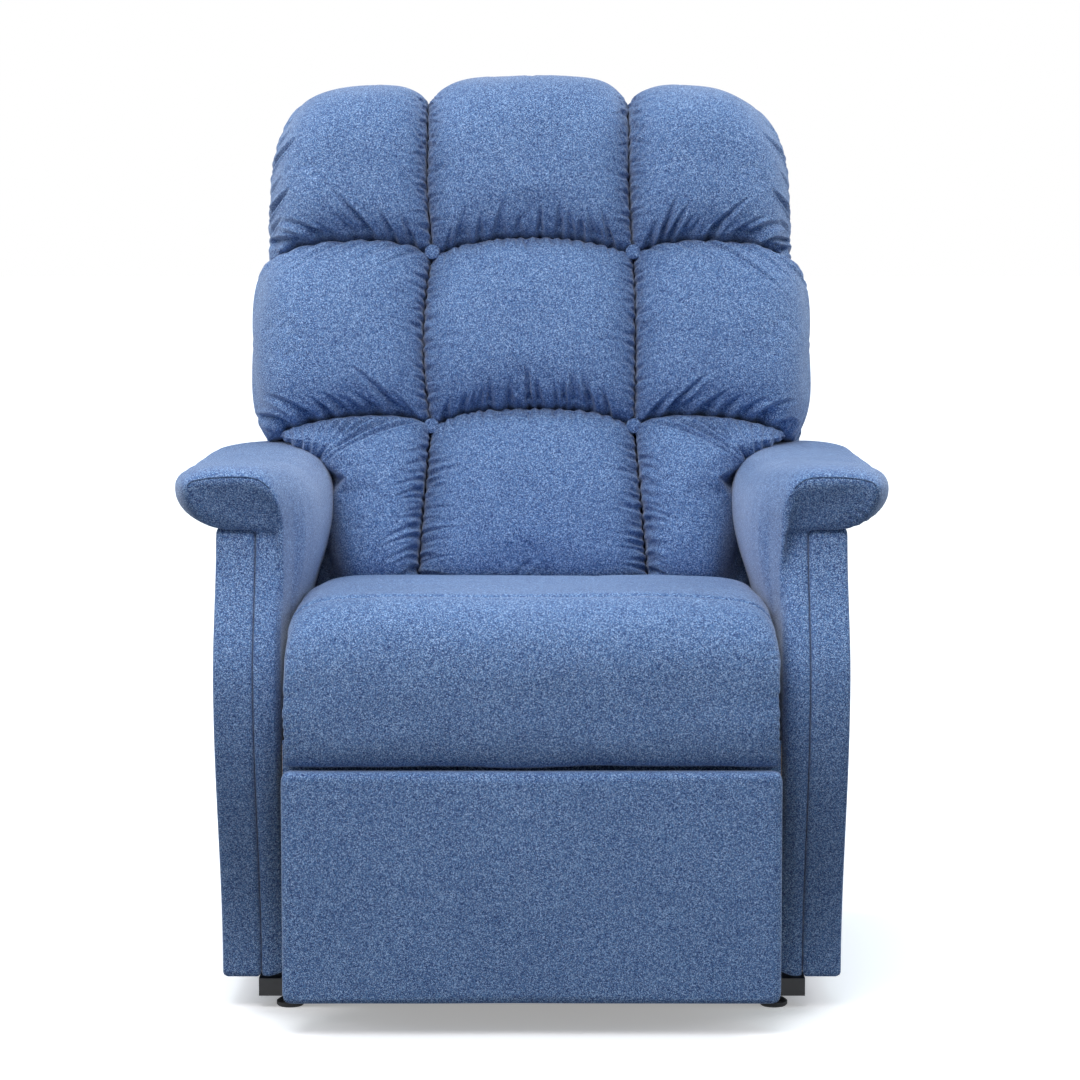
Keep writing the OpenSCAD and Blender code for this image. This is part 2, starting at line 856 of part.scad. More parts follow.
module back_cross_rails() {
    color(pine)
        on_back(rear_panel_t)
            for (v = [lever_root_v, mid_rail_v, back_len - 50 - back_rail_w]) {
                half = v == lever_root_v ? back_bracket_in : back_bracket_out;
                translate([-half, v, 0])
                    cube([2 * half, back_rail_w, back_frame_t]);
            }
}

module back_wings() {
    color(blue)
        on_back(rear_panel_t)
            linear_extrude(back_frame_t)
                difference() {
                    back_outline(3);
                    translate([-frame_half, -1])
                        square([2 * frame_half, back_len - 49]);
                    translate([-400, -1])
                        square([800, 25]);
                }
}

back_spring_pitch = 38;
module back_springs() {
    color(zinc)
        on_back(rear_panel_t + back_frame_t - spring_h)
            for (k = [-1.5 : 1.5])
                translate([k * arm_in * 0.33, lever_root_v + back_rail_w, 0])
                    sinuous(mid_rail_v - lever_root_v - back_rail_w, 42, back_spring_pitch, spring_h);
}

module back_brackets() {
    h = recline_pivot;
    color(steel)
        both_sides()
            slab(back_bracket_in, back_bracket_t)
                difference() {
                    union() {
                        translate(h)
                            circle(20);
                        translate(back_foot)
                            rotate(90 - rake)
                                translate([-26, rear_panel_t + 2])
                                    square([290, back_frame_t - 4]);
                    }
                    hole_at(h, lift_pin_r);
                }
}

// The lever hangs from the lowest cross rail down to the actuator's pin
module back_lever() {
    p = back_act_tip;
    root = back_point(0, lever_root_v, rear_panel_t + 1);
    root_low = back_point(0, -8, rear_panel_t + 1);
    root_front = back_point(0, lever_root_v, rear_panel_t + back_frame_t);
    color(steel)
        slab(back_act_x - tab_half, 2 * tab_half)
            difference() {
                union() {
                    polygon([[root[1], root[2]], [root_front[1], root_front[2]],
                             [p[0] - 11, p[1]], [p[0] + 11, p[1]], [root_low[1], root_low[2]]]);
                    translate(p)
                        circle(13);
                }
                hole_at(p, act_pin_r);
            }
}

module back_lever_pin() {
    color(zinc)
        fork_pin(back_act_x, back_act_tip, fork_out + head_gap, back_slot_r + 3);
}

// ---- Pillows: each is a pad with its crown in the middle and its edges drawn in
pillow_base = rear_panel_t + back_frame_t + 0.3;
pillow_gap = 1.2;
row_vs = [24, back_len * 0.34, back_len * 0.666, back_len + 6];
pillow_steps = 10;

// The outer pillows of the middle row start higher, clear of the arm pads
wing_lift = 8;

// Height share across one direction, with the lower share kept at each end
function swell_at(s, low, high) =
    let (edge = s < 0 ? low : high)
        edge + (1 - edge) * sqrt(1 - pow(abs(s), 3.4));

// The pillow's footprint runs from u0 to u1 at its foot and from top_u0 to top_u1 at its head
module pillow(u0, u1, top_u0, top_u1, v0, v1, sides, ends, arch) {
    n = pillow_steps;
    share = [for (i = [0 : n]) -cos(180 * i / n)];
    function foot(i, j) =
        let (s = share[i], t = share[j], k = (t + 1) / 2,
             left = u0 + (top_u0 - u0) * k, right = u1 + (top_u1 - u1) * k)
            [left + (right - left) * (s + 1) / 2, v0 + (v1 - v0) * k + arch * k * (1 - s * s)];
    function lift(i, j) = (crown_w - pillow_base) * swell_at(share[i], sides[0], sides[1])
        * swell_at(share[j], ends[0], ends[1]);
    top = [for (j = [0 : n], i = [0 : n])
        let (f = foot(i, j)) back_point(f[0], f[1], pillow_base + lift(i, j))];
    rim = concat([for (i = [0 : n - 1]) [i, 0]], [for (j = [0 : n - 1]) [n, j]],
                 [for (i = [n : -1 : 1]) [i, n]], [for (j = [n : -1 : 1]) [0, j]]);
    base = [for (r = rim) let (f = foot(r[0], r[1])) back_point(f[0], f[1], pillow_base)];
    middle = [let (f = foot(n / 2, n / 2)) back_point(f[0], f[1], pillow_base)];
    m = n + 1;
    faces_top = [for (j = [0 : n - 1], i = [0 : n - 1])
        let (a = j * m + i) each [[a, a + m, a + 1], [a + 1, a + m, a + m + 1]]];
    first = m * m;
    around = len(rim);
    faces_side = [for (k = [0 : around - 1])
        let (a = rim[k][1] * m + rim[k][0], next = (k + 1) % around,
             b = rim[next][1] * m + rim[next][0])
            each [[first + k, a, b], [first + k, b, first + next]]];
    faces_base = [for (k = [0 : around - 1]) [first + around, first + k, first + (k + 1) % around]];
    polyhedron(concat(top, base, middle), concat(faces_top, faces_side, faces_base), convexity = 6);
}

seam_share = (seam_w - pillow_base) / (crown_w - pillow_base);
free_share = 0.34;
module pillow_row(low_half, high_half, v0, v1, top_arch, low_share, high_share, lift_outer = 0) {
    c = column_w;
    g = pillow_gap / 2;
    color(blue) {
        pillow(-c + g, c - g, -c + g, c - g, v0 + g, v1 - g, [seam_share, seam_share],
               [low_share, high_share], top_arch);
        pillow(c + g, low_half, c + g, high_half, v0 + lift_outer + g, v1 - g, [seam_share, free_share],
               [low_share, high_share], 0);
        pillow(-low_half, -c - g, -high_half, -c - g, v0 + lift_outer + g, v1 - g, [free_share, seam_share],
               [low_share, high_share], 0);
    }
}

module back_pillows_bottom() {
    pillow_row(back_low_half_w, back_low_half_w, row_vs[0], row_vs[1], 0, 0.62, seam_share);
}

module back_pillows_middle() {
    pillow_row(back_half_w - 12, back_half_w, row_vs[1], row_vs[2], 0, seam_share, seam_share, wing_lift);
}

module back_pillows_top() {
    pillow_row(back_half_w - 4, back_half_w - 46, row_vs[2], row_vs[3], 10, seam_share, 0.14);
}

// Depth of each pair of buttons below the seams
button_sinks = [7.4, 11.6];
module back_buttons() {
    color(blue)
        for (u = [-column_w, column_w], k = [0, 1])
            on_back(0)
                translate([u, row_vs[k + 1], seam_w - button_sinks[k]])
                    rotate_extrude()
                        polygon(concat([[0, 0], [4, 0], [4, 6]],
                                       [for (a = [0 : 15 : 90]) [button_d / 2 * cos(a), 7 + 6 * sin(a)]]));
}

// ---- Actuators, drawn from the rear eye at the origin along +Y
housing_from = 14;
housing_to = 80;
housing_half_h = 27;
motor_x = 44;
tube_trim = 50;
module place_actuator(x, p, a) {
    translate([x, p[0], p[1]])
        rotate([a, 0, 0])
            children();
}

// side is 1 or -1: which side of the tube the gear motor lies on
module actuator_housing(side) {
    color(black)
        difference() {
            union() {
                shaft(-eye_half, eye_half, [0, 0], act_pin_r + 6);
                translate([-eye_half, 0, -9])
                    cube([2 * eye_half, housing_from + 2, 18]);
                hull() {
                    for (z = [-1, 1], x = [-16, motor_x + 10])
                        translate([side * x, housing_from, z * (housing_half_h - 9)])
                            rotate([-90, 0, 0])
                                cylinder(h = housing_to - housing_from, r = 9, $fn = 24);
                }
            }
            shaft(-eye_half - 1, eye_half + 1, [0, 0], act_pin_r);
        }
}

module actuator_motor(side) {
    color(black)
        translate([side * motor_x, housing_to, 0])
            rotate([-90, 0, 0]) {
                cylinder(h = motor_len - 8, r = motor_r);
                translate([0, 0, motor_len - 8])
                    cylinder(h = 5, r = motor_r - 3);
                translate([0, 0, motor_len - 3])
                    cylinder(h = 3, r = 6);
            }
}

module actuator_tube(reach) {
    length = reach - tube_trim - housing_to;
    color(black)
        translate([0, housing_to, 0])
            rotate([-90, 0, 0])
                difference() {
                    union() {
                        cylinder(h = length, r = act_tube_r - 1.5);
                        translate([0, 0, length - 16])
                            cylinder(h = 16, r = act_tube_r);
                    }
                    translate([0, 0, 2])
                        cylinder(h = length, r = rod_r);
                }
}

// reach is the pin distance when drawn in, out is how far the rod stands out at rest
module actuator_rod(reach, out, slot, slot_r) {
    tip = reach + out;
    fork_from = tip - 34;
    color(zinc) {
        translate([0, housing_to + 4 + out, 0])
            rotate([-90, 0, 0])
                cylinder(h = fork_from - 8 - housing_to - 4 - out, r = rod_r - run);
        translate([-fork_out, fork_from - 8, -slot_r - 5])
            cube([2 * fork_out, 10, 2 * slot_r + 10]);
        both_sides()
            slab(tab_half + fork_gap, fork_t)
                difference() {
                    slot_at([tip, 0], 0, tip - fork_from - slot_r - 5, slot[1], slot_r + 5);
                    slot_at([tip, 0], 0, slot[0], slot[1], slot_r);
                }
    }
}

lift_act_angle = angle_of(lift_act_pivot, lift_act_tip);
lift_act_reach = norm(lift_act_tip - lift_act_pivot);
module lift_actuator_housing() {
    place_actuator(0, lift_act_pivot, lift_act_angle)
        actuator_housing(1);
}

module lift_actuator_motor() {
    place_actuator(0, lift_act_pivot, lift_act_angle)
        actuator_motor(1);
}

module lift_actuator_tube() {
    place_actuator(0, lift_act_pivot, lift_act_angle)
        actuator_tube(lift_act_reach);
}

module lift_actuator_rod() {
    place_actuator(0, lift_act_pivot, lift_act_angle)
        actuator_rod(lift_act_reach, 0, lift_slot, lift_slot_r);
}

back_act_angle = angle_of(back_act_pivot, back_act_tip);
back_act_reach = norm(back_act_tip - back_act_pivot) - back_act_stroke;
module back_actuator_housing() {
    place_actuator(back_act_x, back_act_pivot, back_act_angle)
        actuator_housing(-1);
}

module back_actuator_motor() {
    place_actuator(back_act_x, back_act_pivot, back_act_angle)
        actuator_motor(-1);
}

module back_actuator_tube() {
    place_actuator(back_act_x, back_act_pivot, back_act_angle)
        actuator_tube(back_act_reach);
}

module back_actuator_rod() {
    place_actuator(back_act_x, back_act_pivot, back_act_angle)
        actuator_rod(back_act_reach, back_act_stroke, back_slot, back_slot_r);
}

// ---- Footrest linkage, layer by layer inwards from the side plates
leg_eye = leg_pin_r + 5;
leg_waist = 16;
drive_tube_at = 40;
drive_tube_r = 10;
module leg_drive_links() {
    a = angle_of(leg_drive_pivot, leg_drive_end);
    color(steel)
        both_sides()
            slab(leg_layer(1), leg_link_t)
                difference() {
                    union() {
                        link_shape(leg_drive_pivot, leg_drive_end, leg_eye, leg_waist);
                        hole_at(leg_drive_pivot + polar(a, drive_tube_at), drive_tube_r + 3);
                    }
                    hole_at(leg_drive_pivot, leg_pin_r);
                    hole_at(leg_drive_end, leg_pin_r);
                }
}

module leg_drive_tube() {
    p = leg_drive_pivot + polar(angle_of(leg_drive_pivot, leg_drive_end), drive_tube_at);
    color(steel)
        difference() {
            shaft(-leg_layer(1), leg_layer(1), p, drive_tube_r);
            shaft(-leg_layer(1) - 1, leg_layer(1) + 1, p, drive_tube_r - 2);
        }
}

module leg_drive_pins() {
    color(zinc)
        both_sides()
            leg_pin(leg_drive_end, leg_layer(1) + leg_link_t, leg_layer(2));
}

module leg_front_links() {
    color(steel)
        both_sides()
            slab(leg_layer(1), leg_link_t)
                difference() {
                    union() {
                        link_shape(leg_front_pivot, leg_front_mid, leg_eye, leg_waist);
                        link_shape(leg_front_mid, leg_front_end, leg_eye, leg_waist);
                    }
                    for (p = [leg_front_pivot, leg_front_mid, leg_front_end])
                        hole_at(p, leg_pin_r);
                }
}

module leg_front_pins() {
    outer = leg_layer(1) + leg_link_t;
    color(zinc)
        both_sides() {
            leg_pin(leg_front_mid, outer, leg_layer(2));
            leg_pin(leg_front_end, outer, leg_layer(4));
        }
}

module leg_booms() {
    color(steel)
        both_sides()
            slab(leg_layer(2), leg_link_t)
                difference() {
                    union() {
                        link_shape(leg_drive_end, leg_front_mid, leg_eye + 1, leg_waist + 2);
                        link_shape(leg_front_mid, boom_tip, leg_eye, leg_waist);
                    }
                    hole_at(leg_drive_end, leg_pin_r);
                    hole_at(leg_front_mid, leg_pin_r + leg_slack);
                    hole_at(boom_tip, leg_pin_r);
                }
}

module leg_boom_pins() {
    color(zinc)
        both_sides()
            leg_pin(boom_tip, leg_layer(2) + leg_link_t, leg_layer(3));
}

module leg_tilt_links() {
    color(steel)
        both_sides()
            slab(leg_layer(4), leg_link_t)
                difference() {
                    link_shape(leg_front_end, tilt_tip, leg_eye, leg_waist);
                    hole_at(leg_front_end, leg_pin_r);
                    hole_at(tilt_tip, leg_pin_r + leg_slack);
                }
}

board_front_y = seat_front_y + 2 + footrest_pad_t;
board_rear_y = board_front_y + footrest_board_t;
module footrest_brackets() {
    color(steel)
        both_sides() {
            slab(leg_layer(3), leg_link_t)
                difference() {
                    union() {
                        translate([board_rear_y, tilt_tip[1] - 16])
                            square([boom_tip[0] - board_rear_y, boom_tip[1] - tilt_tip[1] + 28]);
                        hole_at(boom_tip, leg_eye);
                        hole_at(tilt_tip, leg_eye);
                        translate([boom_tip[0] - 1, tilt_tip[1]])
                            square([leg_eye - 2, boom_tip[1] - tilt_tip[1]]);
                    }
                    hole_at(boom_tip, leg_pin_r);
                    hole_at(tilt_tip, leg_pin_r);
                }
            leg_pin(tilt_tip, leg_layer(3) + leg_link_t, leg_layer(4));
        }
}

module footrest_board() {
    inset = 6;
    color(pine)
        translate([inset - footrest_w / 2, board_front_y, footrest_bottom + inset])
            cube([footrest_w - 2 * inset, footrest_board_t, footrest_top - footrest_bottom - 2 * inset]);
}

// Face of the pad: flat in the middle, rounded off at its rim
function footrest_share(k, n) = -cos(180 * k / n);
module footrest_pad() {
    n = 12;
    m = n + 1;
    mid_z = (footrest_top + footrest_bottom) / 2;
    half_h = (footrest_top - footrest_bottom) / 2;
    rear = board_front_y - soft_gap;
    function face_point(i, j) =
        let (s = footrest_share(i, n), t = footrest_share(j, n),
             f = sqrt(1 - pow(abs(s), 14)) * sqrt(1 - pow(abs(t), 8)))
            [s * footrest_w / 2, rear - (footrest_pad_t - soft_gap) * (0.3 + 0.7 * f), mid_z + t * half_h];
    face = [for (j = [0 : n], i = [0 : n]) face_point(i, j)];
    back = [for (p = face) [p[0], rear, p[2]]];
    quads = [for (j = [0 : n - 1], i = [0 : n - 1]) j * m + i];
    front_faces = [for (a = quads) each [[a, a + m, a + 1], [a + 1, a + m, a + m + 1]]];
    count = m * m;
    back_faces = [for (a = quads) each [[count + a, count + a + 1, count + a + m],
                                        [count + a + 1, count + a + m + 1, count + a + m]]];
    rim = concat([for (i = [0 : n - 1]) i], [for (j = [0 : n - 1]) j * m + n],
                 [for (i = [n : -1 : 1]) n * m + i], [for (j = [n : -1 : 1]) j * m]);
    rim_faces = [for (k = [0 : len(rim) - 1])
        let (a = rim[k], b = rim[(k + 1) % len(rim)])
            each [[count + a, a, b], [count + a, b, count + b]]];
    color(blue)
        polyhedron(concat(face, back), concat(front_faces, back_faces, rim_faces), convexity = 4);
}

// ---- The pieces of each arm; the sitter's left is the +X side
module left_inner_panel() {
    inner_panel();
}

module right_inner_panel() {
    mirror([1, 0, 0])
        inner_panel();
}

module left_front_post() {
    front_post();
}

module right_front_post() {
    mirror([1, 0, 0])
        front_post();
}

module left_outer_panel() {
    outer_panel();
}

module right_outer_panel() {
    mirror([1, 0, 0])
        outer_panel();
}

module left_arm_pad() {
    arm_pad();
}

module right_arm_pad() {
    mirror([1, 0, 0])
        arm_pad();
}

base_side_rails();
base_cross_bars();
base_brackets();
base_glides();
base_pivot_pins();
base_clevis();
lift_arms();
lift_arm_tube();
front_links();
carriage_plates();
carriage_cross_tubes();
carriage_pivot_pins();
carriage_clevises();
seat_side_rails();
seat_cross_rails();
seat_springs();
seat_cushion();
arm_frames();
arm_bolts();
left_inner_panel();
right_inner_panel();
left_front_post();
right_front_post();
left_outer_panel();
right_outer_panel();
left_arm_pad();
right_arm_pad();
rear_apron();
control_box();
back_side_rails();
back_cross_rails();
back_springs();
back_brackets();
back_lever();
back_lever_pin();
back_rear_panel();
back_wings();
back_pillows_top();
back_pillows_middle();
back_pillows_bottom();
back_buttons();
lift_actuator_housing();
lift_actuator_motor();
lift_actuator_tube();
lift_actuator_rod();
back_actuator_housing();
back_actuator_motor();
back_actuator_tube();
back_actuator_rod();
leg_drive_links();
leg_drive_tube();
leg_drive_pins();
leg_front_links();
leg_front_pins();
leg_booms();
leg_boom_pins();
leg_tilt_links();
footrest_brackets();
footrest_board();
footrest_pad();
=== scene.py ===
"""Looks of a pillow-back lift recliner chair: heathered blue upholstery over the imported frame."""

import json
import math

import bpy
import numpy as np
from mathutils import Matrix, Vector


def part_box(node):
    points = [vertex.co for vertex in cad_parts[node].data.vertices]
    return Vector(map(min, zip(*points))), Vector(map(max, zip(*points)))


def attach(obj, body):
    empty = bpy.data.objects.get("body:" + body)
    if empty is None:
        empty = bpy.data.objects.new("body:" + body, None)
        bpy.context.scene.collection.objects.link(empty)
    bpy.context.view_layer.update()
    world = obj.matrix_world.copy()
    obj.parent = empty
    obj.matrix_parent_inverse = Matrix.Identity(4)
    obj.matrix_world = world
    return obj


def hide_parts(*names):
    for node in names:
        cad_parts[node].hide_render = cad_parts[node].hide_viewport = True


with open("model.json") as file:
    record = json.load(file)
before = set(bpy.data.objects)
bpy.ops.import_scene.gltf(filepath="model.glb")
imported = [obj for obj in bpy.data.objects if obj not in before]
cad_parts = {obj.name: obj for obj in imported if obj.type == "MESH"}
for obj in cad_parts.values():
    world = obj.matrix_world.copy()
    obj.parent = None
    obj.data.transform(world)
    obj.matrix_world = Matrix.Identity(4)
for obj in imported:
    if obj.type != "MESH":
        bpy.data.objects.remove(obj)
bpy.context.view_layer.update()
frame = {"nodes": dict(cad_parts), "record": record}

# ---- Units and places. Shapes are worked out in millimetres and laid down in metres.
MM = 0.001
RAKE = math.radians(15.6)
BACK_FOOT_Y = 267.8
BACK_FOOT_Z = 400.0


def node_box(node):
    """Lowest and highest corner of a CAD node at rest, in millimetres."""
    low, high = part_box(node)
    return np.array(low) / MM, np.array(high) / MM


# ---- Camera, light and floor
CAMERA_PLACE = (0.010, -4.59, 1.036)
CAMERA_PITCH = 84.0
CAMERA_LENS = 116.67
# Strength of the fill light from below and from overhead
FILL_BELOW, FILL_ABOVE = 0.22, 0.44
# Glow of the floor close to the chair and well away from it, and the two distances in metres
GLOW_NEAR, GLOW_FAR = 0.32, 0.70
GLOW_STARTS, GLOW_FULL = 0.8, 2.4


def make_camera():
    """Camera at the photograph's viewing angle."""
    data = bpy.data.cameras.new("camera")
    data.sensor_width = 36
    data.lens = CAMERA_LENS
    camera = bpy.data.objects.new("camera", data)
    camera.location = CAMERA_PLACE
    camera.rotation_euler = (math.radians(CAMERA_PITCH), 0, 0)
    bpy.context.collection.objects.link(camera)
    bpy.context.scene.camera = camera


def area_light(name, place, aim, width, height, power, colour):
    """A soft box of light at a place, turned towards its aim."""
    data = bpy.data.lights.new(name, "AREA")
    data.shape = "RECTANGLE"
    data.size = width
    data.size_y = height
    data.energy = power
    data.color = colour
    light = bpy.data.objects.new(name, data)
    light.location = place
    direction = np.array(aim, float) - np.array(place, float)
    yaw = math.atan2(direction[0], -direction[1])
    pitch = math.atan2(math.hypot(direction[0], direction[1]), -direction[2])
    light.rotation_euler = (pitch, 0, yaw + math.pi)
    bpy.context.collection.objects.link(light)


def sky_light(name, tilt, turn, spread, strength, colour):
    """A soft sun: tilt from straight overhead, then turned about the vertical."""
    data = bpy.data.lights.new(name, "SUN")
    data.angle = math.radians(spread)
    data.energy = strength
    data.color = colour
    light = bpy.data.objects.new(name, data)
    light.rotation_euler = (math.radians(tilt), 0, math.radians(turn))
    light.location = (0, 0, 3)
    bpy.context.collection.objects.link(light)


def make_world():
    """White to the camera; to the chair, a dim sky that darkens towards the floor."""
    world = bpy.data.worlds.new("studio")
    bpy.context.scene.world = world
    world.use_nodes = True
    tree = world.node_tree
    backdrop = tree.nodes["Background"]
    backdrop.inputs["Color"].default_value = (1, 1, 1, 1)
    place = tree.nodes.new("ShaderNodeTexCoord")
    split = tree.nodes.new("ShaderNodeSeparateXYZ")
    tree.links.new(place.outputs["Generated"], split.inputs[0])
    shade = tree.nodes.new("ShaderNodeMapRange")
    shade.inputs["From Min"].default_value = -0.8
    shade.inputs["From Max"].default_value = 0.8
    shade.inputs["To Min"].default_value = FILL_BELOW
    shade.inputs["To Max"].default_value = FILL_ABOVE
    tree.links.new(split.outputs["Z"], shade.inputs["Value"])
    fill = tree.nodes.new("ShaderNodeBackground")
    fill.inputs["Color"].default_value = (0.84, 0.92, 1.0, 1)
    tree.links.new(shade.outputs[0], fill.inputs["Strength"])
    rays = tree.nodes.new("ShaderNodeLightPath")
    mix = tree.nodes.new("ShaderNodeMixShader")
    tree.links.new(rays.outputs["Is Camera Ray"], mix.inputs[0])
    tree.links.new(fill.outputs[0], mix.inputs[1])
    tree.links.new(backdrop.outputs[0], mix.inputs[2])
    tree.links.new(mix.outputs[0], tree.nodes["World Output"].inputs["Surface"])


def make_studio():
    """Soft box in front, one at each side, a wide soft sun overhead, and a pale floor."""
    bpy.context.scene.view_settings.view_transform = "Standard"
    make_world()
    sky_light("overhead", tilt=8, turn=0, spread=50, strength=1.05, colour=(0.72, 0.93, 1.0))
    area_light("softbox", place=(-0.4, -1.7, 2.2), aim=(0, 0.1, 1.10),
               width=1.7, height=1.1, power=35, colour=(1.0, 0.955, 0.975))
    for side in (-1, 1):
        area_light("side_softbox", place=(side * 1.9, 0.5, 1.9), aim=(side * 0.3, 0, 0.7),
                   width=1.2, height=1.2, power=22, colour=(0.98, 0.98, 1.0))
    bpy.ops.mesh.primitive_plane_add(size=60)
    floor = bpy.context.object
    floor.name = "floor"
    floor.data.materials.append(floor_paint_and_glow())
    # The pale floor takes the shadow but doesn't light the chair from below
    floor.visible_diffuse = False


# ---- Materials
def new_material(name, roughness, metallic=0.0, specular=0.5):
    """A new material with its node tree and its shader."""
    material = bpy.data.materials.new(name)
    material.use_nodes = True
    shader = material.node_tree.nodes["Principled BSDF"]
    shader.inputs["Roughness"].default_value = roughness
    shader.inputs["Metallic"].default_value = metallic
    shader.inputs["Specular IOR Level"].default_value = specular
    return material, material.node_tree, shader


def noise(tree, scale, detail=2.0, stretch=(1, 1, 1)):
    """Noise in the piece's own coordinates; scale is in cells a metre."""
    place = tree.nodes.new("ShaderNodeTexCoord")
    mapping = tree.nodes.new("ShaderNodeMapping")
    mapping.inputs["Scale"].default_value = stretch
    mapping.inputs["Rotation"].default_value = (0.6, 0.4, 0.9)
    texture = tree.nodes.new("ShaderNodeTexNoise")
    texture.inputs["Scale"].default_value = scale
    texture.inputs["Detail"].default_value = detail
    tree.links.new(place.outputs["Object"], mapping.inputs["Vector"])
    tree.links.new(mapping.outputs["Vector"], texture.inputs["Vector"])
    return texture.outputs["Fac"]


def specks(tree, scale):
    """A chance value for each cell of a fine grain; scale is in cells a metre."""
    place = tree.nodes.new("ShaderNodeTexCoord")
    cells = tree.nodes.new("ShaderNodeTexVoronoi")
    cells.inputs["Scale"].default_value = scale
    split = tree.nodes.new("ShaderNodeSeparateColor")
    tree.links.new(place.outputs["Object"], cells.inputs["Vector"])
    tree.links.new(cells.outputs["Color"], split.inputs["Color"])
    return split.outputs["Red"]


def ramp(tree, value, stops):
    """Colour ramp through (position, colour) stops."""
    node = tree.nodes.new("ShaderNodeValToRGB")
    while len(node.color_ramp.elements) < len(stops):
        node.color_ramp.elements.new(0.5)
    for element, (position, colour) in zip(node.color_ramp.elements, stops):
        element.position = position
        element.color = (*colour, 1)
    tree.links.new(value, node.inputs["Fac"])
    return node.outputs["Color"]


def shaded_by(tree, colour, tone):
    """A colour multiplied by a tone."""
    node = tree.nodes.new("ShaderNodeMix")
    node.data_type = "RGBA"
    node.blend_type = "MULTIPLY"
    factor, first, second, result = node.inputs[0], node.inputs[6], node.inputs[7], node.outputs[2]
    factor.default_value = 1.0
    tree.links.new(colour, first)
    tree.links.new(tone, second)
    return result


def add_bump(tree, shader, height, distance, strength):
    """Fine relief on a shader; distance is in metres."""
    bump = tree.nodes.new("ShaderNodeBump")
    bump.inputs["Distance"].default_value = distance
    bump.inputs["Strength"].default_value = strength
    tree.links.new(height, bump.inputs["Height"])
    tree.links.new(bump.outputs["Normal"], shader.inputs["Normal"])


FLECKS_A_METRE = 1150


def heathered_fabric(name, navy, slate, blue, pale):
    """Brushed woven cloth: fine flecks of four yarn colours, a slow change of tone, and a soft sheen."""
    material, tree, shader = new_material(name, roughness=0.92, specular=0.15)
    yarns = [(0.05, navy), (0.38, slate), (0.66, blue), (0.97, pale)]
    flecks = ramp(tree, specks(tree, FLECKS_A_METRE), yarns)
    tone = ramp(tree, noise(tree, scale=9), [(0.25, (0.90, 0.91, 0.93)), (0.75, (1.0, 1.0, 1.0))])
    tree.links.new(shaded_by(tree, flecks, tone), shader.inputs["Base Color"])
    shader.inputs["Sheen Weight"].default_value = 0.38
    shader.inputs["Sheen Roughness"].default_value = 0.40
    shader.inputs["Sheen Tint"].default_value = (0.80, 0.86, 1.0, 1)
    add_bump(tree, shader, noise(tree, scale=900), distance=0.0006, strength=0.55)
    return material


def powder_coat():
    """Black powder coat with a fine orange peel."""
    material, tree, shader = new_material("black_powder_coat", roughness=0.42)
    blacks = [(0.3, (0.010, 0.010, 0.011)), (0.8, (0.022, 0.022, 0.024))]
    tree.links.new(ramp(tree, noise(tree, scale=40, detail=3.0), blacks), shader.inputs["Base Color"])
    add_bump(tree, shader, noise(tree, scale=1400, detail=1.0), distance=0.0002, strength=0.4)
    return material


def zinc_plate():
    """Bright zinc with faint drawn lines."""
    material, tree, shader = new_material("zinc_plate", roughness=0.34, metallic=1.0)
    greys = [(0.3, (0.50, 0.51, 0.53)), (0.8, (0.68, 0.69, 0.71))]
    tree.links.new(ramp(tree, noise(tree, scale=60, detail=4.0), greys), shader.inputs["Base Color"])
    lines = noise(tree, scale=500, stretch=(1, 12, 12))
    add_bump(tree, shader, lines, distance=0.0001, strength=0.3)
    return material


def moulded_plastic():
    """Black plastic with a fine moulded grain."""
    material, tree, shader = new_material("moulded_plastic", roughness=0.55)
    blacks = [(0.3, (0.013, 0.013, 0.014)), (0.8, (0.026, 0.026, 0.028))]
    tree.links.new(ramp(tree, noise(tree, scale=30), blacks), shader.inputs["Base Color"])
    add_bump(tree, shader, noise(tree, scale=2200, detail=1.0), distance=0.0002, strength=0.5)
    return material


def sawn_pine():
    """Sawn pine: stretched light and dark grain, with a rough surface along it."""
    material, tree, shader = new_material("sawn_pine", roughness=0.72)
    grain = noise(tree, scale=22, detail=6.0, stretch=(1, 1, 9))
    browns = [(0.35, (0.60, 0.42, 0.23)), (0.65, (0.42, 0.27, 0.13))]
    tree.links.new(ramp(tree, grain, browns), shader.inputs["Base Color"])
    fibres = noise(tree, scale=300, detail=4.0, stretch=(1, 1, 6))
    add_bump(tree, shader, fibres, distance=0.0004, strength=0.5)
    return material


def floor_paint_and_glow():
    """Pale paint with painted light: the floor glows, more away from the chair, so that it runs into the
    white backdrop.
    """
    material, tree, shader = new_material("floor_paint_and_glow", roughness=0.85, specular=0.2)
    whites = [(0.3, (0.93, 0.93, 0.93)), (0.7, (0.95, 0.95, 0.95))]
    tree.links.new(ramp(tree, noise(tree, scale=2), whites), shader.inputs["Base Color"])
    # Painted light: a white glow, weaker near the chair and stronger away from it
    shader.inputs["Emission Color"].default_value = (1, 1, 1, 1)
    place = tree.nodes.new("ShaderNodeTexCoord")
    distance = tree.nodes.new("ShaderNodeVectorMath")
    distance.operation = "LENGTH"
    tree.links.new(place.outputs["Object"], distance.inputs[0])
    glow = tree.nodes.new("ShaderNodeMapRange")
    glow.inputs["From Min"].default_value = GLOW_STARTS
    glow.inputs["From Max"].default_value = GLOW_FULL
    glow.inputs["To Min"].default_value = GLOW_NEAR
    glow.inputs["To Max"].default_value = GLOW_FAR
    tree.links.new(distance.outputs["Value"], glow.inputs["Value"])
    tree.links.new(glow.outputs[0], shader.inputs["Emission Strength"])
    return material


# ---- Mesh helpers
WAVE_COUNT = 7


def mesh_object(name, points, faces, material):
    """A smooth-shaded piece from points in millimetres."""
    mesh = bpy.data.meshes.new(name)
    mesh.from_pydata((np.asarray(points) * MM).tolist(), [], faces)
    mesh.polygons.foreach_set("use_smooth", [True] * len(mesh.polygons))
    mesh.materials.append(material)
    piece = bpy.data.objects.new(name, mesh)
    bpy.context.collection.objects.link(piece)
    return piece


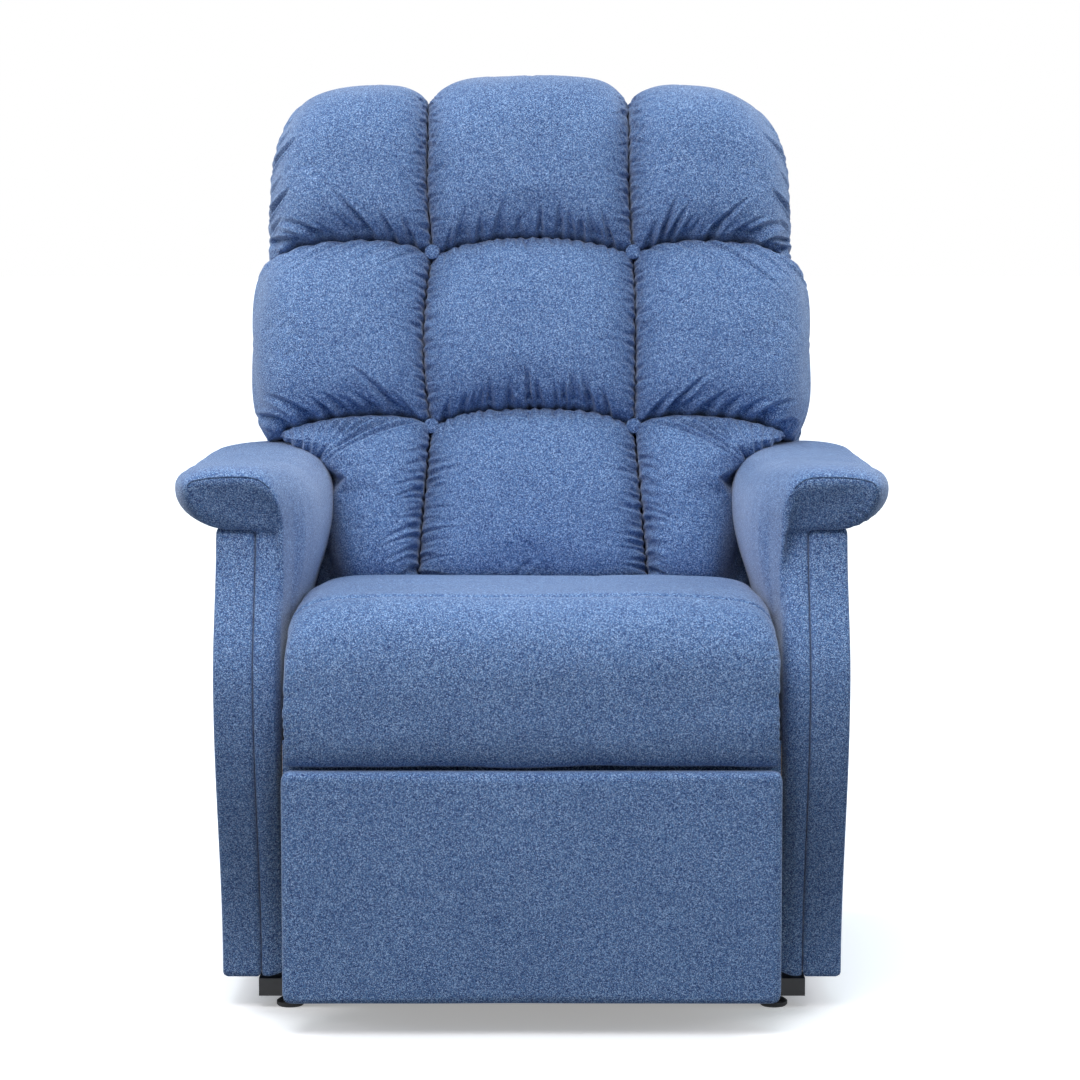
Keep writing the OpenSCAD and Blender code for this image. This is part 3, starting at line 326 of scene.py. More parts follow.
def sheet_faces(rows, columns, around=False):
    """Quads of a grid of points; around joins its last column to its first."""
    last = columns if around else columns - 1
    return [(i * columns + j, i * columns + (j + 1) % columns,
             (i + 1) * columns + (j + 1) % columns, (i + 1) * columns + j)
            for i in range(rows - 1) for j in range(last)]


def closed_pad(name, top, base, material):
    """A closed form: the rim of the crowned sheet drops to a flat base ring."""
    rows, columns = top.shape[:2]
    rim = [(0, j) for j in range(columns - 1)]
    rim += [(i, columns - 1) for i in range(rows - 1)]
    rim += [(rows - 1, j) for j in range(columns - 1, 0, -1)]
    rim += [(i, 0) for i in range(rows - 1, 0, -1)]
    first = rows * columns
    points = list(top.reshape(-1, 3)) + [base[i, j] for i, j in rim]
    faces = sheet_faces(rows, columns)
    count = len(rim)
    for k, (i, j) in enumerate(rim):
        after = (k + 1) % count
        next_i, next_j = rim[after]
        faces.append((first + k, first + after, next_i * columns + next_j, i * columns + j))
    faces.append(tuple(first + k for k in reversed(range(count))))
    return mesh_object(name, points, faces, material)


def closed_loft(name, loops, material):
    """A closed form through loops of points, with a flat cap on each end."""
    rows, count = len(loops), len(loops[0])
    faces = sheet_faces(rows, count, around=True)
    faces.append(tuple(reversed(range(count))))
    faces.append(tuple((rows - 1) * count + k for k in range(count)))
    return mesh_object(name, np.concatenate(loops), faces, material)


def apply_modifiers(piece):
    """Turns what a piece's modifiers make into its own mesh."""
    graph = bpy.context.evaluated_depsgraph_get()
    mesh = bpy.data.meshes.new_from_object(piece.evaluated_get(graph))
    piece.modifiers.clear()
    piece.data = mesh
    mesh.polygons.foreach_set("use_smooth", [True] * len(mesh.polygons))


def softened(piece, voxel, rounds):
    """Rebuilds a piece's surface in even quads and rounds its edges."""
    remesh = piece.modifiers.new("remesh", "REMESH")
    remesh.mode = "VOXEL"
    remesh.voxel_size = voxel * MM
    smooth = piece.modifiers.new("smooth", "SMOOTH")
    smooth.factor = 0.5
    smooth.iterations = rounds
    apply_modifiers(piece)


def joined(name, first, second):
    """Two meshes as one piece."""
    bpy.ops.object.select_all(action="DESELECT")
    second.select_set(True)
    first.select_set(True)
    bpy.context.view_layer.objects.active = first
    bpy.ops.object.join()
    first.name = first.data.name = name
    return first


def points_of(piece):
    """A piece's points, in millimetres."""
    flat = np.empty(len(piece.data.vertices) * 3)
    piece.data.vertices.foreach_get("co", flat)
    return flat.reshape(-1, 3) / MM


def move_points(piece, points):
    """Lays a piece's points, in millimetres, at new places."""
    piece.data.vertices.foreach_set("co", (points * MM).ravel())
    piece.data.update()


def normals_of(points):
    """Unit normals of a grid of points."""
    along = np.gradient(points, axis=1)
    across = np.gradient(points, axis=0)
    normal = np.cross(along, across)
    return normal / np.maximum(np.linalg.norm(normal, axis=-1, keepdims=True), 1e-9)


def graded(count, share=0.6):
    """Steps from -1 to 1 that lie closer together towards both ends."""
    x = np.linspace(-1, 1, count)
    return (1 - share) * x + share * np.sin(math.pi / 2 * x)


def resampled(path, count):
    """The same closed path of points, at even steps."""
    path = np.vstack([path, path[:1]])
    length = np.concatenate([[0], np.cumsum(np.linalg.norm(np.diff(path, axis=0), axis=1))])
    steps = np.linspace(0, length[-1], count, endpoint=False)
    return np.stack([np.interp(steps, length, path[:, k]) for k in range(path.shape[1])], axis=1)


def smooth_step(x):
    """0 below 0, 1 above 1, and a smooth rise between."""
    x = np.clip(x, 0, 1)
    return x * x * (3 - 2 * x)


def reach(distance, length):
    """Share of a length that a distance covers, from 0 to 1."""
    return min(1, max(0, distance / length))


def superellipse(angle, power):
    """Point of a superellipse of half widths 1; a higher power gives squarer corners."""
    c, s = math.cos(angle), math.sin(angle)
    return (math.copysign(abs(c) ** (2 / power), c), math.copysign(abs(s) ** (2 / power), s))


def shrunk(outline, inset):
    """An outline with each point drawn towards the middle by the inset."""
    middle = outline.mean(axis=0)
    spokes = outline - middle
    return middle + spokes * (1 - inset / np.linalg.norm(spokes, axis=1, keepdims=True))


def rounded_outline(low, high, radius, count):
    """Rectangle with round corners, as points in the order of its boundary."""
    right, left = high[0] - radius, low[0] + radius
    above, below = high[1] - radius, low[1] + radius
    points = []
    for cx, cy, start in ((right, above, 0), (left, above, 90), (left, below, 180), (right, below, 270)):
        for k in range(7):
            a = math.radians(start + 15 * k)
            points.append((cx + radius * math.cos(a), cy + radius * math.sin(a)))
    return resampled(np.array(points), count)


def level_loop(x, outline):
    """A (y, z) outline laid at x."""
    return np.column_stack([np.full(len(outline), x), outline])


def waves(points, size, seed):
    """Smooth random undulation between about -1 and 1; size is its length in millimetres."""
    chance = np.random.default_rng(seed)
    total = np.zeros(points.shape[:-1])
    for _ in range(WAVE_COUNT):
        direction = chance.normal(size=3)
        direction *= 2 * math.pi / (size * chance.uniform(0.7, 1.6)) / np.linalg.norm(direction)
        total += np.sin(points @ direction + chance.uniform(0, 2 * math.pi))
    return total / (WAVE_COUNT / 2)


def upholster(piece, nodes, body):
    """Hides the CAD nodes a soft piece stands for, if any, and hangs the piece on the body it rides on.
    """
    for node in nodes:
        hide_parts(node)
    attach(piece, body)


# ---- Gathers: creases that cross a seam and fade away from it
def gathers(along, away, marks):
    """Height of creases; each mark is (place along the seam, length, depth, half width, slant)."""
    total = np.zeros(np.broadcast(along, away).shape)
    for place, length, depth, width, slant in marks:
        fade = np.clip(1 - away / length, 0, 1) ** 0.9
        # A crease narrows away from the seam; its width is measured square to its slant
        breadth = width * math.hypot(1, slant) * (1.35 - 0.75 * np.clip(away / length, 0, 1))
        q = np.abs(along - place - slant * away) / breadth
        groove = np.exp(-q * q)
        ridges = 0.25 * np.exp(-((q - 2.0) / 0.7) ** 2)
        total += depth * fade * (ridges - groove)
    return total


def row_of_marks(seed, start, stop, step, length, depth, width, slant_start=0.0, slant_stop=0.0):
    """Marks of uneven size along a seam, their slant turning steadily from one end to the other."""
    chance = np.random.default_rng(seed)
    marks = []
    place = start + step * chance.uniform(0.2, 0.8)
    while place < stop:
        share = (place - start) / (stop - start)
        # Most marks are small and a few are large
        size = 0.35 + 0.65 * chance.uniform() ** 1.6
        breadth = width * chance.uniform(0.8, 1.3)
        slant = slant_start + (slant_stop - slant_start) * share + chance.uniform(-0.12, 0.12)
        marks.append((place, length * size, depth * (0.4 + 0.6 * size), breadth, slant))
        place += step * chance.uniform(0.45, 1.75)
    return marks


# ---- Cloth physics
SETTLING_FRAMES = 14
SPARE_CLOTH = 0.010
CLOTH_PRESSURE = 4.0
FURTHEST_MOVE = 24


def finer(grid):
    """Twice as many points each way, on smooth curves through the old ones."""
    for axis in (0, 1):
        g = np.moveaxis(grid, axis, 0)
        before = np.concatenate([2 * g[:1] - g[1:2], g[:-2]])
        after = np.concatenate([g[2:], 2 * g[-1:] - g[-2:-1]])
        refined = np.empty((2 * len(g) - 1,) + g.shape[1:])
        refined[0::2] = g
        refined[1::2] = (9 * (g[:-1] + g[1:]) - before - after) / 16
        grid = np.moveaxis(refined, 0, axis)
    return grid


def settled(sheet, base):
    """How the points of a sheet move as its spare cloth fills and gathers, with its rim sewn down."""
    rows, columns = sheet.shape[:2]
    trial = closed_pad("trial", sheet, base, None)
    held = trial.vertex_groups.new(name="held")
    rim = [i * columns + j for i in range(rows) for j in range(columns)
           if i in (0, rows - 1) or j in (0, columns - 1)]
    held.add(rim + list(range(rows * columns, len(trial.data.vertices))), 1.0, "REPLACE")
    cloth = trial.modifiers.new("cloth", "CLOTH")
    cloth.settings.quality = 6
    cloth.settings.mass = 0.25
    cloth.settings.tension_stiffness = 25
    cloth.settings.compression_stiffness = 25
    cloth.settings.shear_stiffness = 8
    cloth.settings.bending_stiffness = 0.2
    cloth.settings.shrink_min = -SPARE_CLOTH
    cloth.settings.use_pressure = True
    cloth.settings.uniform_pressure_force = CLOTH_PRESSURE
    cloth.settings.vertex_group_mass = "held"
    cloth.settings.effector_weights.gravity = 0
    cloth.collision_settings.use_collision = False
    cloth.point_cache.frame_end = SETTLING_FRAMES
    for moment in range(1, SETTLING_FRAMES + 1):
        bpy.context.scene.frame_set(moment)
    apply_modifiers(trial)
    moved = points_of(trial)[:rows * columns].reshape(sheet.shape) - sheet
    bpy.data.objects.remove(trial)
    bpy.context.scene.frame_set(1)
    length = np.linalg.norm(moved, axis=-1, keepdims=True)
    return moved * np.minimum(1, FURTHEST_MOVE / np.maximum(length, 1e-6))


# ---- Back pillows, in the backrest's own frame: u across, v up the rake, w forward
# Where the base of a pillow and its crown lie, as w
PILLOW_BASE, CROWN_W = 60.5, 232
BUTTON_U, BUTTON_W = 138, 160
BUTTON_VS = (256, 500)
SEAM_GAP = 0.3
PILLOW_GRID = (56, 50)
# Height above the floor at which the lowest outer pillows start to lean out over the arms
ARM_LEVEL = 600
# Heights v of the foot, of the two row seams and of the top, from which the forms start
ROW_VS = (24, 257, 500, 768)
# Heights v at the buttons of the two finished seams, and at the crest of the centre and outer pillows
LOWER_SEAM_V, UPPER_SEAM_V = 257, 499
CENTRE_CREST_V, OUTER_CREST_V = 768, 753
OUTER_WIDTH = 238
ROW_NAMES = ("bottom", "middle", "top")
COLUMN_NAMES = {-1: "right", 0: "centre", 1: "left"}
# Share of a pillow's height that is kept at a seam with a neighbour and at a free side
SEAM_SHARE, FREE_SHARE = 0.62, 0.12
# Share of the height kept at the foot and at the head of each row
ROW_ENDS = ((0.62, 0.70), (0.66, 0.70), (0.66, 0.16))
# Movements found by the simulation, under (row, column)
SETTLED_PILLOWS = {}
# Deep pleats at the upper corner beside the arm, and the tucks on the free edge of the top row,
# each as (place along the seam, length, depth, half width, slant)
CORNER_PLEATS = [(148, 90, 8.0, 2.6, 2.1), (176, 120, 12.0, 2.8, 1.9), (208, 90, 12.0, 2.8, 1.5),
                 (234, 90, 12.0, 2.8, 1.0), (257, 95, 13.0, 3.0, 0.6), (278, 95, 13.0, 3.0, 0.3),
                 (298, 90, 12.0, 3.0, 0.1), (317, 80, 11.0, 2.8, -0.1), (334, 70, 9.0, 2.6, -0.2)]
EDGE_TUCKS = {-1: [(536, 22, 6.0, 2.8, 0.4), (560, 32, 15.0, 3.2, 0.6), (592, 20, 5.0, 2.8, 0.5),
                   (630, 34, 14.0, 3.2, 0.7), (658, 22, 6.0, 2.8, 0.7), (688, 20, 5.0, 2.8, 0.7)],
              1: [(536, 20, 5.0, 2.8, 0.4), (562, 30, 13.0, 3.0, 0.6), (602, 18, 5.0, 2.8, 0.5),
                  (640, 32, 12.0, 3.0, 0.7), (676, 20, 6.0, 2.8, 0.7)]}


def on_back(u, v, w):
    """Chair coordinates of points in the backrest's frame."""
    y = BACK_FOOT_Y + v * math.sin(RAKE) - w * math.cos(RAKE)
    z = BACK_FOOT_Z + v * math.cos(RAKE) + w * math.sin(RAKE)
    return np.stack(np.broadcast_arrays(u, y, z), axis=-1)


def column_line(v, side):
    """Half width of the middle column: drawn in at the buttons, bowed out between them."""
    low, high = BUTTON_VS
    bow, flare = (12, 8) if side < 0 else (3, -5)
    below = 20 * np.clip(1 - v / low, 0, 1) ** 0.8
    between = bow * np.sin(math.pi * np.clip((v - low) / (high - low), 0, 1)) ** 0.8
    above = flare * np.sin(math.pi / 2 * np.clip((v - high) / 110, 0, 1))
    scallops = 0.9 * np.sin(v / 1.9 + 1.6 * np.sin(v / 13) + side)
    return BUTTON_U + below + between + above + scallops


def row_line(u, row):
    """Height v of the foot of the lowest row, of the two row seams, and of the top."""
    a = np.abs(u)
    inner = np.clip(a / BUTTON_U, 0, 1)
    outer = np.clip((a - BUTTON_U) / OUTER_WIDTH, 0, 1)
    if row == 0:
        return ROW_VS[0] + 0 * a
    if row == 1:
        arch = LOWER_SEAM_V + 21 * (1 - inner ** 3)
        wing = LOWER_SEAM_V + 16 * np.sin(math.pi * outer ** 0.7) - 12 * outer
        return np.where(a < BUTTON_U, arch, wing)
    if row == 2:
        arch = UPPER_SEAM_V + 19 * (1 - inner ** 2)
        wing = UPPER_SEAM_V + 15 * np.sin(math.pi * outer ** 0.75)
        return np.where(a < BUTTON_U, arch, wing)
    # The crest differs a little between the sitter's right and left
    right = u < 0
    seam_u = np.where(right, 146, 134)
    centre = CENTRE_CREST_V - 34 * (a / (seam_u - 1)) ** 4.5
    notch_end = np.where(right, 193, 183)
    notch = 27 * (1 - np.sqrt(1 - np.clip((notch_end - a) / 50, 0, 1) ** 2))
    corner_start, corner_drop = np.where(right, 218, 208), np.where(right, 26, 34)
    corner = corner_drop * np.clip((a - corner_start) / 117, 0, 2) ** 2.4
    return np.where(a < seam_u, centre, OUTER_CREST_V - notch - corner)


def outer_line(v, row, side):
    """Half width of the outer pillows; the sitter's left side of the upper rows is a little narrower."""
    if row == 0:
        return 269 + 0 * v
    if row == 1:
        widest = 386
        narrower = 4 if side > 0 else 0
        return widest - 18 * (np.abs(v - 380) / 122) ** 4 - narrower
    width, corner = (364, 32) if side < 0 else (356, 38)
    return width - corner * np.clip((v - 570) / 162, 0, 1.2) ** 2.4


def swell(x, low, high, power_low, power_high):
    """Share of the full height along one direction, with the share kept at each end."""
    edge = np.where(x < 0, low, high)
    power = np.where(x < 0, power_low, power_high)
    return edge + (1 - edge) * np.sqrt(np.clip(1 - np.abs(x) ** power, 0, 1))


def spread_at_arms(u, v, w):
    """How far the lowest outer pillows fill the room behind the arms and lean out over them."""
    height = BACK_FOOT_Z + v * math.cos(RAKE) + w * math.sin(RAKE)
    over = np.minimum(84, 110 * np.clip((height - ARM_LEVEL) / 85, 0, 1) ** 2)
    over = over * smooth_step((np.abs(u) - 165) / 104)
    behind = 33 * smooth_step((165 - w) / 80)
    return np.maximum(over, behind)


def pillow_grid(row, column, across, up):
    """Crowned sheet of a pillow as u, v, w, and how far each point lies from its four edges."""
    s, t = np.meshgrid(across, up)
    side = np.sign(column)
    left_share = FREE_SHARE if side < 0 else SEAM_SHARE
    right_share = FREE_SHARE if side > 0 else SEAM_SHARE
    crown_s = swell(s, left_share, right_share, 3.2, 3.2)
    # The crown sits low in each pillow, so its foot is tight and its head recedes
    lean = t + 0.20 * (1 - t * t)
    crown_t = swell(lean, *ROW_ENDS[row], 3.4, 2.4 if row < 2 else 3.4)
    w = PILLOW_BASE + (CROWN_W - PILLOW_BASE) * crown_s * crown_t
    v_low, v_high = ROW_VS[row:row + 2]
    v = v_low + (v_high - v_low) * (t + 1) / 2
    # The side lines depend on the height and the row lines on the width, so both are found in turns
    for _ in range(5):
        left, right = -column_line(v, -1) + SEAM_GAP, column_line(v, 1) - SEAM_GAP
        if side > 0:
            left, right = column_line(v, 1) + SEAM_GAP, outer_line(v, row, 1)
        if side < 0:
            left, right = -outer_line(v, row, -1), -column_line(v, -1) - SEAM_GAP
        u = left + (right - left) * (s + 1) / 2
        if row == 0:
            u = u + side * spread_at_arms(u, v, w)
        bottom, top = row_line(u, row) + SEAM_GAP, row_line(u, row + 1) - SEAM_GAP
        v = bottom + (top - bottom) * (t + 1) / 2
    # A free side stands out furthest a little above its base
    if row > 0:
        outermost = np.clip((s * side - 0.9) / 0.1, 0, 1)
        u = u + side * 5 * outermost * np.sin(math.pi * np.clip((w - 60) / 90, 0, 1))
    return u, v, w, (u - left, right - u, v - bottom, top - v)


def pillow_gathers(row, column, u, v, edges):
    """Height of the gathers along a pillow's seams."""
    to_left, to_right, to_foot, to_head = edges
    side = np.sign(column)
    seed = 100 * row + 10 * (column + 1)
    out = u * side if side else u
    total = 0
    if row > 0 and side == 0:
        length, depth = (44, 11.5) if row == 2 else (58, 15.0)
        marks = row_of_marks(seed + 1, -125, 125, 17, length, depth, 3.2, 0.3, -0.3)
        total = total + gathers(u, to_foot, marks)
    if row > 0 and side:
        slants = (0.3, 1.9) if row == 2 else (1.1, 1.3)
        marks = row_of_marks(seed + 1, 150, 345, 19, 62, 15.0, 3.2, *slants)
        total = total + gathers(out, to_foot, marks)
    if row < 2 and side == 0:
        marks = row_of_marks(seed + 2, -125, 125, 13, 34, 6.0, 2.6)
        total = total + gathers(u, to_head, marks)
    if row == 1 and side:
        marks = row_of_marks(seed + 2, 142, 345, 24, 85, 8.0, 2.8, 1.3, 1.8)
        total = total + gathers(out, to_head, marks)
    if row == 0 and side:
        sewn_down = 0.15 + 0.85 * smooth_step(to_head / 16)
        total = total + gathers(out, to_head, CORNER_PLEATS) * sewn_down
    if row == 2 and side:
        total = total + gathers(v, to_right if side > 0 else to_left, EDGE_TUCKS[side])
    for number, to_edge, free_side in ((3, to_left, -1), (4, to_right, 1)):
        if side != free_side:
            total = total + gathers(v, to_edge, seam_marks(row, side, seed + number))
    return total


def seam_marks(row, side, seed):
    """Gathers across a column seam, as marks along v."""
    if row == 0:
        slant = -0.5 if side else 0.0
        return row_of_marks(seed, 35, 225, 10.5, 58, 5.0, 2.3, slant, slant)
    if row == 1:
        return row_of_marks(seed, 285, 480, 11, 22, 4.0, 2.4)
    return row_of_marks(seed, 525, 745, 9.5, 30, 3.6, 2.2, 0.0, -0.9)


def pillow_settling(row, column, sheet, base):
    """How the cloth moves; the later of two twin pillows takes the mirrored movement of the first."""
    if (row, -column) in SETTLED_PILLOWS:
        return SETTLED_PILLOWS[row, -column][:, ::-1] * (-1, 1, 1)
    SETTLED_PILLOWS[row, column] = settled(sheet, base)
    return SETTLED_PILLOWS[row, column]


def make_pillow(row, column, cloth):
    """One of the nine pillows: a crowned sheet, settled as cloth, then made finer and gathered."""
    u, v, w, edges = pillow_grid(row, column, graded(PILLOW_GRID[0]), graded(PILLOW_GRID[1]))
    sheet = on_back(u, v, w)
    base = on_back(u * 0.99, v, np.full_like(w, PILLOW_BASE))
    sheet = finer(finer(sheet + pillow_settling(row, column, sheet, base)))
    u, v, base = finer(finer(u)), finer(finer(v)), finer(finer(base))
    edges = [finer(finer(edge)) for edge in edges]
    height = pillow_gathers(row, column, u, v, edges) + 1.2 * waves(sheet, 90, 31 + 3 * row + column)
    nearest = np.minimum(np.minimum(edges[0], edges[1]), np.minimum(edges[2], edges[3]))
    height *= np.clip(nearest / 4, 0.4, 1)
    sheet = sheet + normals_of(sheet) * height[..., None]
    piece = closed_pad(f"pillow_{ROW_NAMES[row]}_{COLUMN_NAMES[column]}", sheet, base, cloth)
    upholster(piece, [f"back_pillows_{ROW_NAMES[row]}"], "backrest")


def make_buttons(cloth):
    """Covered buttons: a domed cap on a drawn-in waist."""
    turn = np.linspace(0, 2 * math.pi, 32, endpoint=False)
    # Radius and height of each loop, from the waist to the middle of the cap
    profile = [(4.0, 0.0), (4.0, 5.0)]
    profile += [(10.5 * math.cos(a), 8.5 + 3.8 * math.sin(a)) for a in np.linspace(-0.7, 1.5, 9)]
    profile += [(0.4, 12.3)]
    for level, v in zip(("lower", "upper"), BUTTON_VS):
        for side in (-1, 1):
            loops = []
            for radius, height in profile:
                u_loop = side * BUTTON_U + radius * np.cos(turn)
                v_loop = v + radius * np.sin(turn)
                loops.append(on_back(u_loop, v_loop, np.full(len(turn), BUTTON_W + height)))
            piece = closed_loft(f"button_{level}_{COLUMN_NAMES[side]}", loops, cloth)
            upholster(piece, ["back_buttons"], "backrest")


# ---- Seat cushion
SEAT_LIP_Y = -404.0
SEAT_FLOOR_Z = 350.8
# Height above which the two ends of the seat are rounded
ROUNDED_FROM_Z = 384.0
# From the front of the seat back to its sewn line and to its crest, and from its foot up to its nose
LINE_BACK, CREST_BACK, NOSE_UP = 76, 120, 93
# How far the seat runs in under the lowest pillows, and how far it has fallen by there
REAR_TUCK = 14
CREST_FALL = 30


def seat_loop(low, high):
    """Side view of the seat, as (y, z): rolled front, crest, and a fall towards the backrest."""
    front, foot, crest = low[1], low[2], high[2]
    rear = high[1] + REAR_TUCK
    nose_z = foot + NOSE_UP
    crest_y = front + CREST_BACK
    loop = [(SEAT_LIP_Y, SEAT_FLOOR_Z), (SEAT_LIP_Y, foot + 6), (SEAT_LIP_Y - 5, foot)]
    for k in range(10):
        x, y = superellipse(math.radians(90 - 10 * k), 3.4)
        loop.append((front + 38 * (1 - x), nose_z - (nose_z - foot) * y))
    for k in range(19):
        x, y = superellipse(math.radians(5 * k), 2.8)
        loop.append((crest_y - (crest_y - front) * x, nose_z + (crest - nose_z) * y))
    for k in range(1, 9):
        fall = CREST_FALL * (1 - math.cos(math.pi / 2 * k / 8))
        loop.append((crest_y + (rear - 26 - crest_y) * k / 8, crest - fall))
    loop += [(rear - 12, crest - 33), (rear - 4, crest - 44), (rear, crest - 66), (rear, SEAT_FLOOR_Z)]
    return np.array(loop)


def make_seat(cloth):
    """Waterfall seat cushion: its side view carried across the seat, with rounded ends."""
    low, high = node_box("seat_cushion")
    half = high[0]
    loop = resampled(seat_loop(low, high), 400)
    share = graded(190, 0.55)
    drop = np.sqrt(np.clip(1 - np.abs(share) ** 13, 0, 1))[:, None]
    x = np.repeat(share[:, None] * half, len(loop), axis=1)
    y = np.repeat(loop[None, :, 0], len(share), axis=0)
    z = np.repeat(loop[None, :, 1], len(share), axis=0)
    y = np.where(y < SEAT_LIP_Y, SEAT_LIP_Y + (y - SEAT_LIP_Y) * (0.84 + 0.16 * drop), y)
    z = np.where(z > ROUNDED_FROM_Z, ROUNDED_FROM_Z + (z - ROUNDED_FROM_Z) * (0.62 + 0.38 * drop), z)
    grid = np.stack([x, y, z], axis=-1)
    # Small gathers at the two ends of the front, and slow waves all over
    marks = row_of_marks(41, 335, 500, 12, 34, 1.9, 2.4, 0.5, -0.4)
    height = gathers(z, half - np.abs(x), marks) * np.clip((-380 - y) / 60, 0, 1)
    height += 1.5 * waves(grid, 160, 5) + 0.5 * waves(grid, 45, 6)
    # The sewn line across the top, behind the roll
    line = np.exp(-((y - (low[1] + LINE_BACK)) / 3.6) ** 2) * (z > ROUNDED_FROM_Z)
    height -= 4.5 * line
    grid = grid - normals_of(grid) * height[..., None]
    piece = closed_loft("seat_pad", list(grid), cloth)
    upholster(piece, ["seat_cushion"], "carriage")


def make_rail_cloth(cloth):
    """Cloth tacked over the face of the front seat rail, below the roll."""
    outline = rounded_outline((-402.5, 299.0), (-398.6, 352.0), 1.5, 60)
    loops = [level_loop(x, outline) for x in np.linspace(-302, 302, 40)]
    piece = closed_loft("seat_rail_cloth", loops, cloth)
    upholster(piece, [], "carriage")


# ---- Arms, drawn for the sitter's left (+X) and mirrored for the right
ARM_BOTTOM = 42.0
ARM_TOP = 604.0
# Front edge of an arm at its foot, at its belly and under the pad, and the height of the belly
TOE_Y, BELLY_Y, NECK_Y = -325.0, -425.0, -365.0
BELLY_Z = 425.0
NOSE_Y = -403.0
ARM_REAR = 268.0
# Inner and outer face of the padded post and of the outer board
POST_X0, POST_X1 = 303.2, 335.8
BOARD_X0, BOARD_X1 = 336.2, 384
# Inner face, middle and outer turn of the pad
PAD_INNER_X, PAD_MIDDLE_X, PAD_TURN_X = 303.4, 344.0, 372
# Foot and head of the pad's inner bulge, and its underside, shoulder and crest
BULGE_FOOT_Z, BULGE_HEAD_Z = 440, 592
PAD_UNDER_Z, SHOULDER_Z, PAD_CREST_Z = 604.5, 660, 668
PAD_OVERHANG = 92
# Places along the pad where its section is drawn, close together where it curves most
PAD_STATIONS = (-403, -402, -400, -396, -390, -380, -366, -350, -325, -290, -240, -180, -100, 0, 90,
                150, 170, 190, 205, 220, 232, 244, 256, 268)


def arm_front(z):
    """Front edge of an arm: it swells to a belly and draws in under the pad."""
    if z < BELLY_Z:
        share = math.sin(math.pi / 2 * (z - ARM_BOTTOM) / (BELLY_Z - ARM_BOTTOM)) ** 2
        return TOE_Y + (BELLY_Y - TOE_Y) * share
    share = math.sin(math.pi / 2 * min(1, (z - BELLY_Z) / (ARM_TOP - BELLY_Z))) ** 2
    return BELLY_Y + (NECK_Y - BELLY_Y) * share


def slab_loops(outline, x0, x1, inner_edge, outer_edge):
    """Loops of a slab across x whose rim is rounded at both faces."""
    sections = ((x0, inner_edge), (x0 + inner_edge * 0.3, inner_edge * 0.3), (x0 + inner_edge, 0),
                (x1 - outer_edge, 0), (x1 - outer_edge * 0.3, outer_edge * 0.3), (x1, outer_edge))
    return [level_loop(x, shrunk(outline, inset)) for x, inset in sections]


def mirrored(loops, side):
    """Loops for the asked side, turned so that their faces still look outwards."""
    if side > 0:
        return loops
    return [loop * (-1, 1, 1) for loop in loops][::-1]


def make_board(side, cloth):
    """Padded outer board of an arm."""
    top = ARM_TOP + 2
    outline = [(arm_front(z), z) for z in np.linspace(ARM_BOTTOM, top, 40)]
    outline += [(ARM_REAR + 2, top), (ARM_REAR + 2, ARM_BOTTOM)]
    outline = resampled(np.array(outline), 160)
    board_loops = mirrored(slab_loops(outline, BOARD_X0, BOARD_X1, 1.5, 4), side)
    board = closed_loft("arm_board_part", board_loops, cloth)
    # The cloth turns round the rear edge of the arm and covers the end of its wooden frame
    near_y, far_y = ARM_REAR + 1.5, ARM_REAR + 6
    rear = [(near_y, ARM_BOTTOM), (near_y, top), (far_y, top), (far_y, ARM_BOTTOM)]
    rear = resampled(np.array(rear), 160)
    rear_loops = mirrored([level_loop(x, rear) for x in (305, 325, 345, 365, 383)], side)
    flap = closed_loft("arm_rear_part", rear_loops, cloth)
    piece = joined(f"{COLUMN_NAMES[side]}_arm_board", board, flap)
    softened(piece, 3.5, 2)
    upholster(piece, [f"{COLUMN_NAMES[side]}_outer_panel"], "carriage")


def pad_section(y):
    """Front view of the arm pad at y, as (x, y, z): inner bulge, crest, outer roll and underside."""
    rounding = math.sqrt(1 - (1 - reach(y - NOSE_Y, 130)) ** 2.4)
    ahead = math.sin(math.pi / 2 * reach(y - NOSE_Y, 230))
    behind = math.sin(math.pi / 2 * reach(240 - y, 90))
    roll = math.sqrt(1 - (1 - reach(y - NOSE_Y, 46)) ** 2)
    inner, middle, low = PAD_INNER_X, PAD_MIDDLE_X, PAD_UNDER_Z
    shoulder = SHOULDER_Z - 10 * roll
    bulge = 2 + 32 * ahead * behind
    along = reach(y - NOSE_Y, ARM_REAR - NOSE_Y)
    corner = 34 * (1 - math.sqrt(1 - reach(y - 215, 56) ** 2))
    tip = middle + PAD_OVERHANG * (0.74 + 0.26 * rounding) + 7 * math.sin(math.pi * along) - corner
    top = PAD_CREST_Z + 14 * roll - 17 * smooth_step((y + 350) / 330)
    loop = [(inner, BULGE_FOOT_Z)]
    for k in range(1, 9):
        out = bulge * math.sin(math.pi / 2 * k / 8) ** 1.6
        loop.append((inner - out, BULGE_FOOT_Z + (BULGE_HEAD_Z - BULGE_FOOT_Z) * k / 8))
    for k in range(1, 10):
        x, z = superellipse(math.radians(10 * k), 2.5)
        loop.append((middle - (middle - inner + bulge) * x, BULGE_HEAD_Z + (top - BULGE_HEAD_Z) * z))
    for k in range(1, 10):
        x, z = superellipse(math.radians(90 - 10 * k), 2.8)
        loop.append((middle + (tip - middle) * x, shoulder + (top - shoulder) * z))
    for k in range(1, 9):
        x, z = superellipse(math.radians(90 * k / 8), 2.1)
        loop.append((PAD_TURN_X + (tip - PAD_TURN_X) * x, shoulder - (shoulder - low) * z))
    loop += [(340, low), (inner + 6, low)]
    return np.array([(x, y, z) for x, z in loop])


def nose_lean(points):
    """Leans the nose back below its top seam, down to the neck of the arm."""
    y, z = points[..., 1], points[..., 2]
    moved = points.copy()
    moved[..., 1] += 34 * smooth_step((-290 - y) / 70) * np.clip((662 - z) / 58, 0, 1) ** 1.5
    return moved


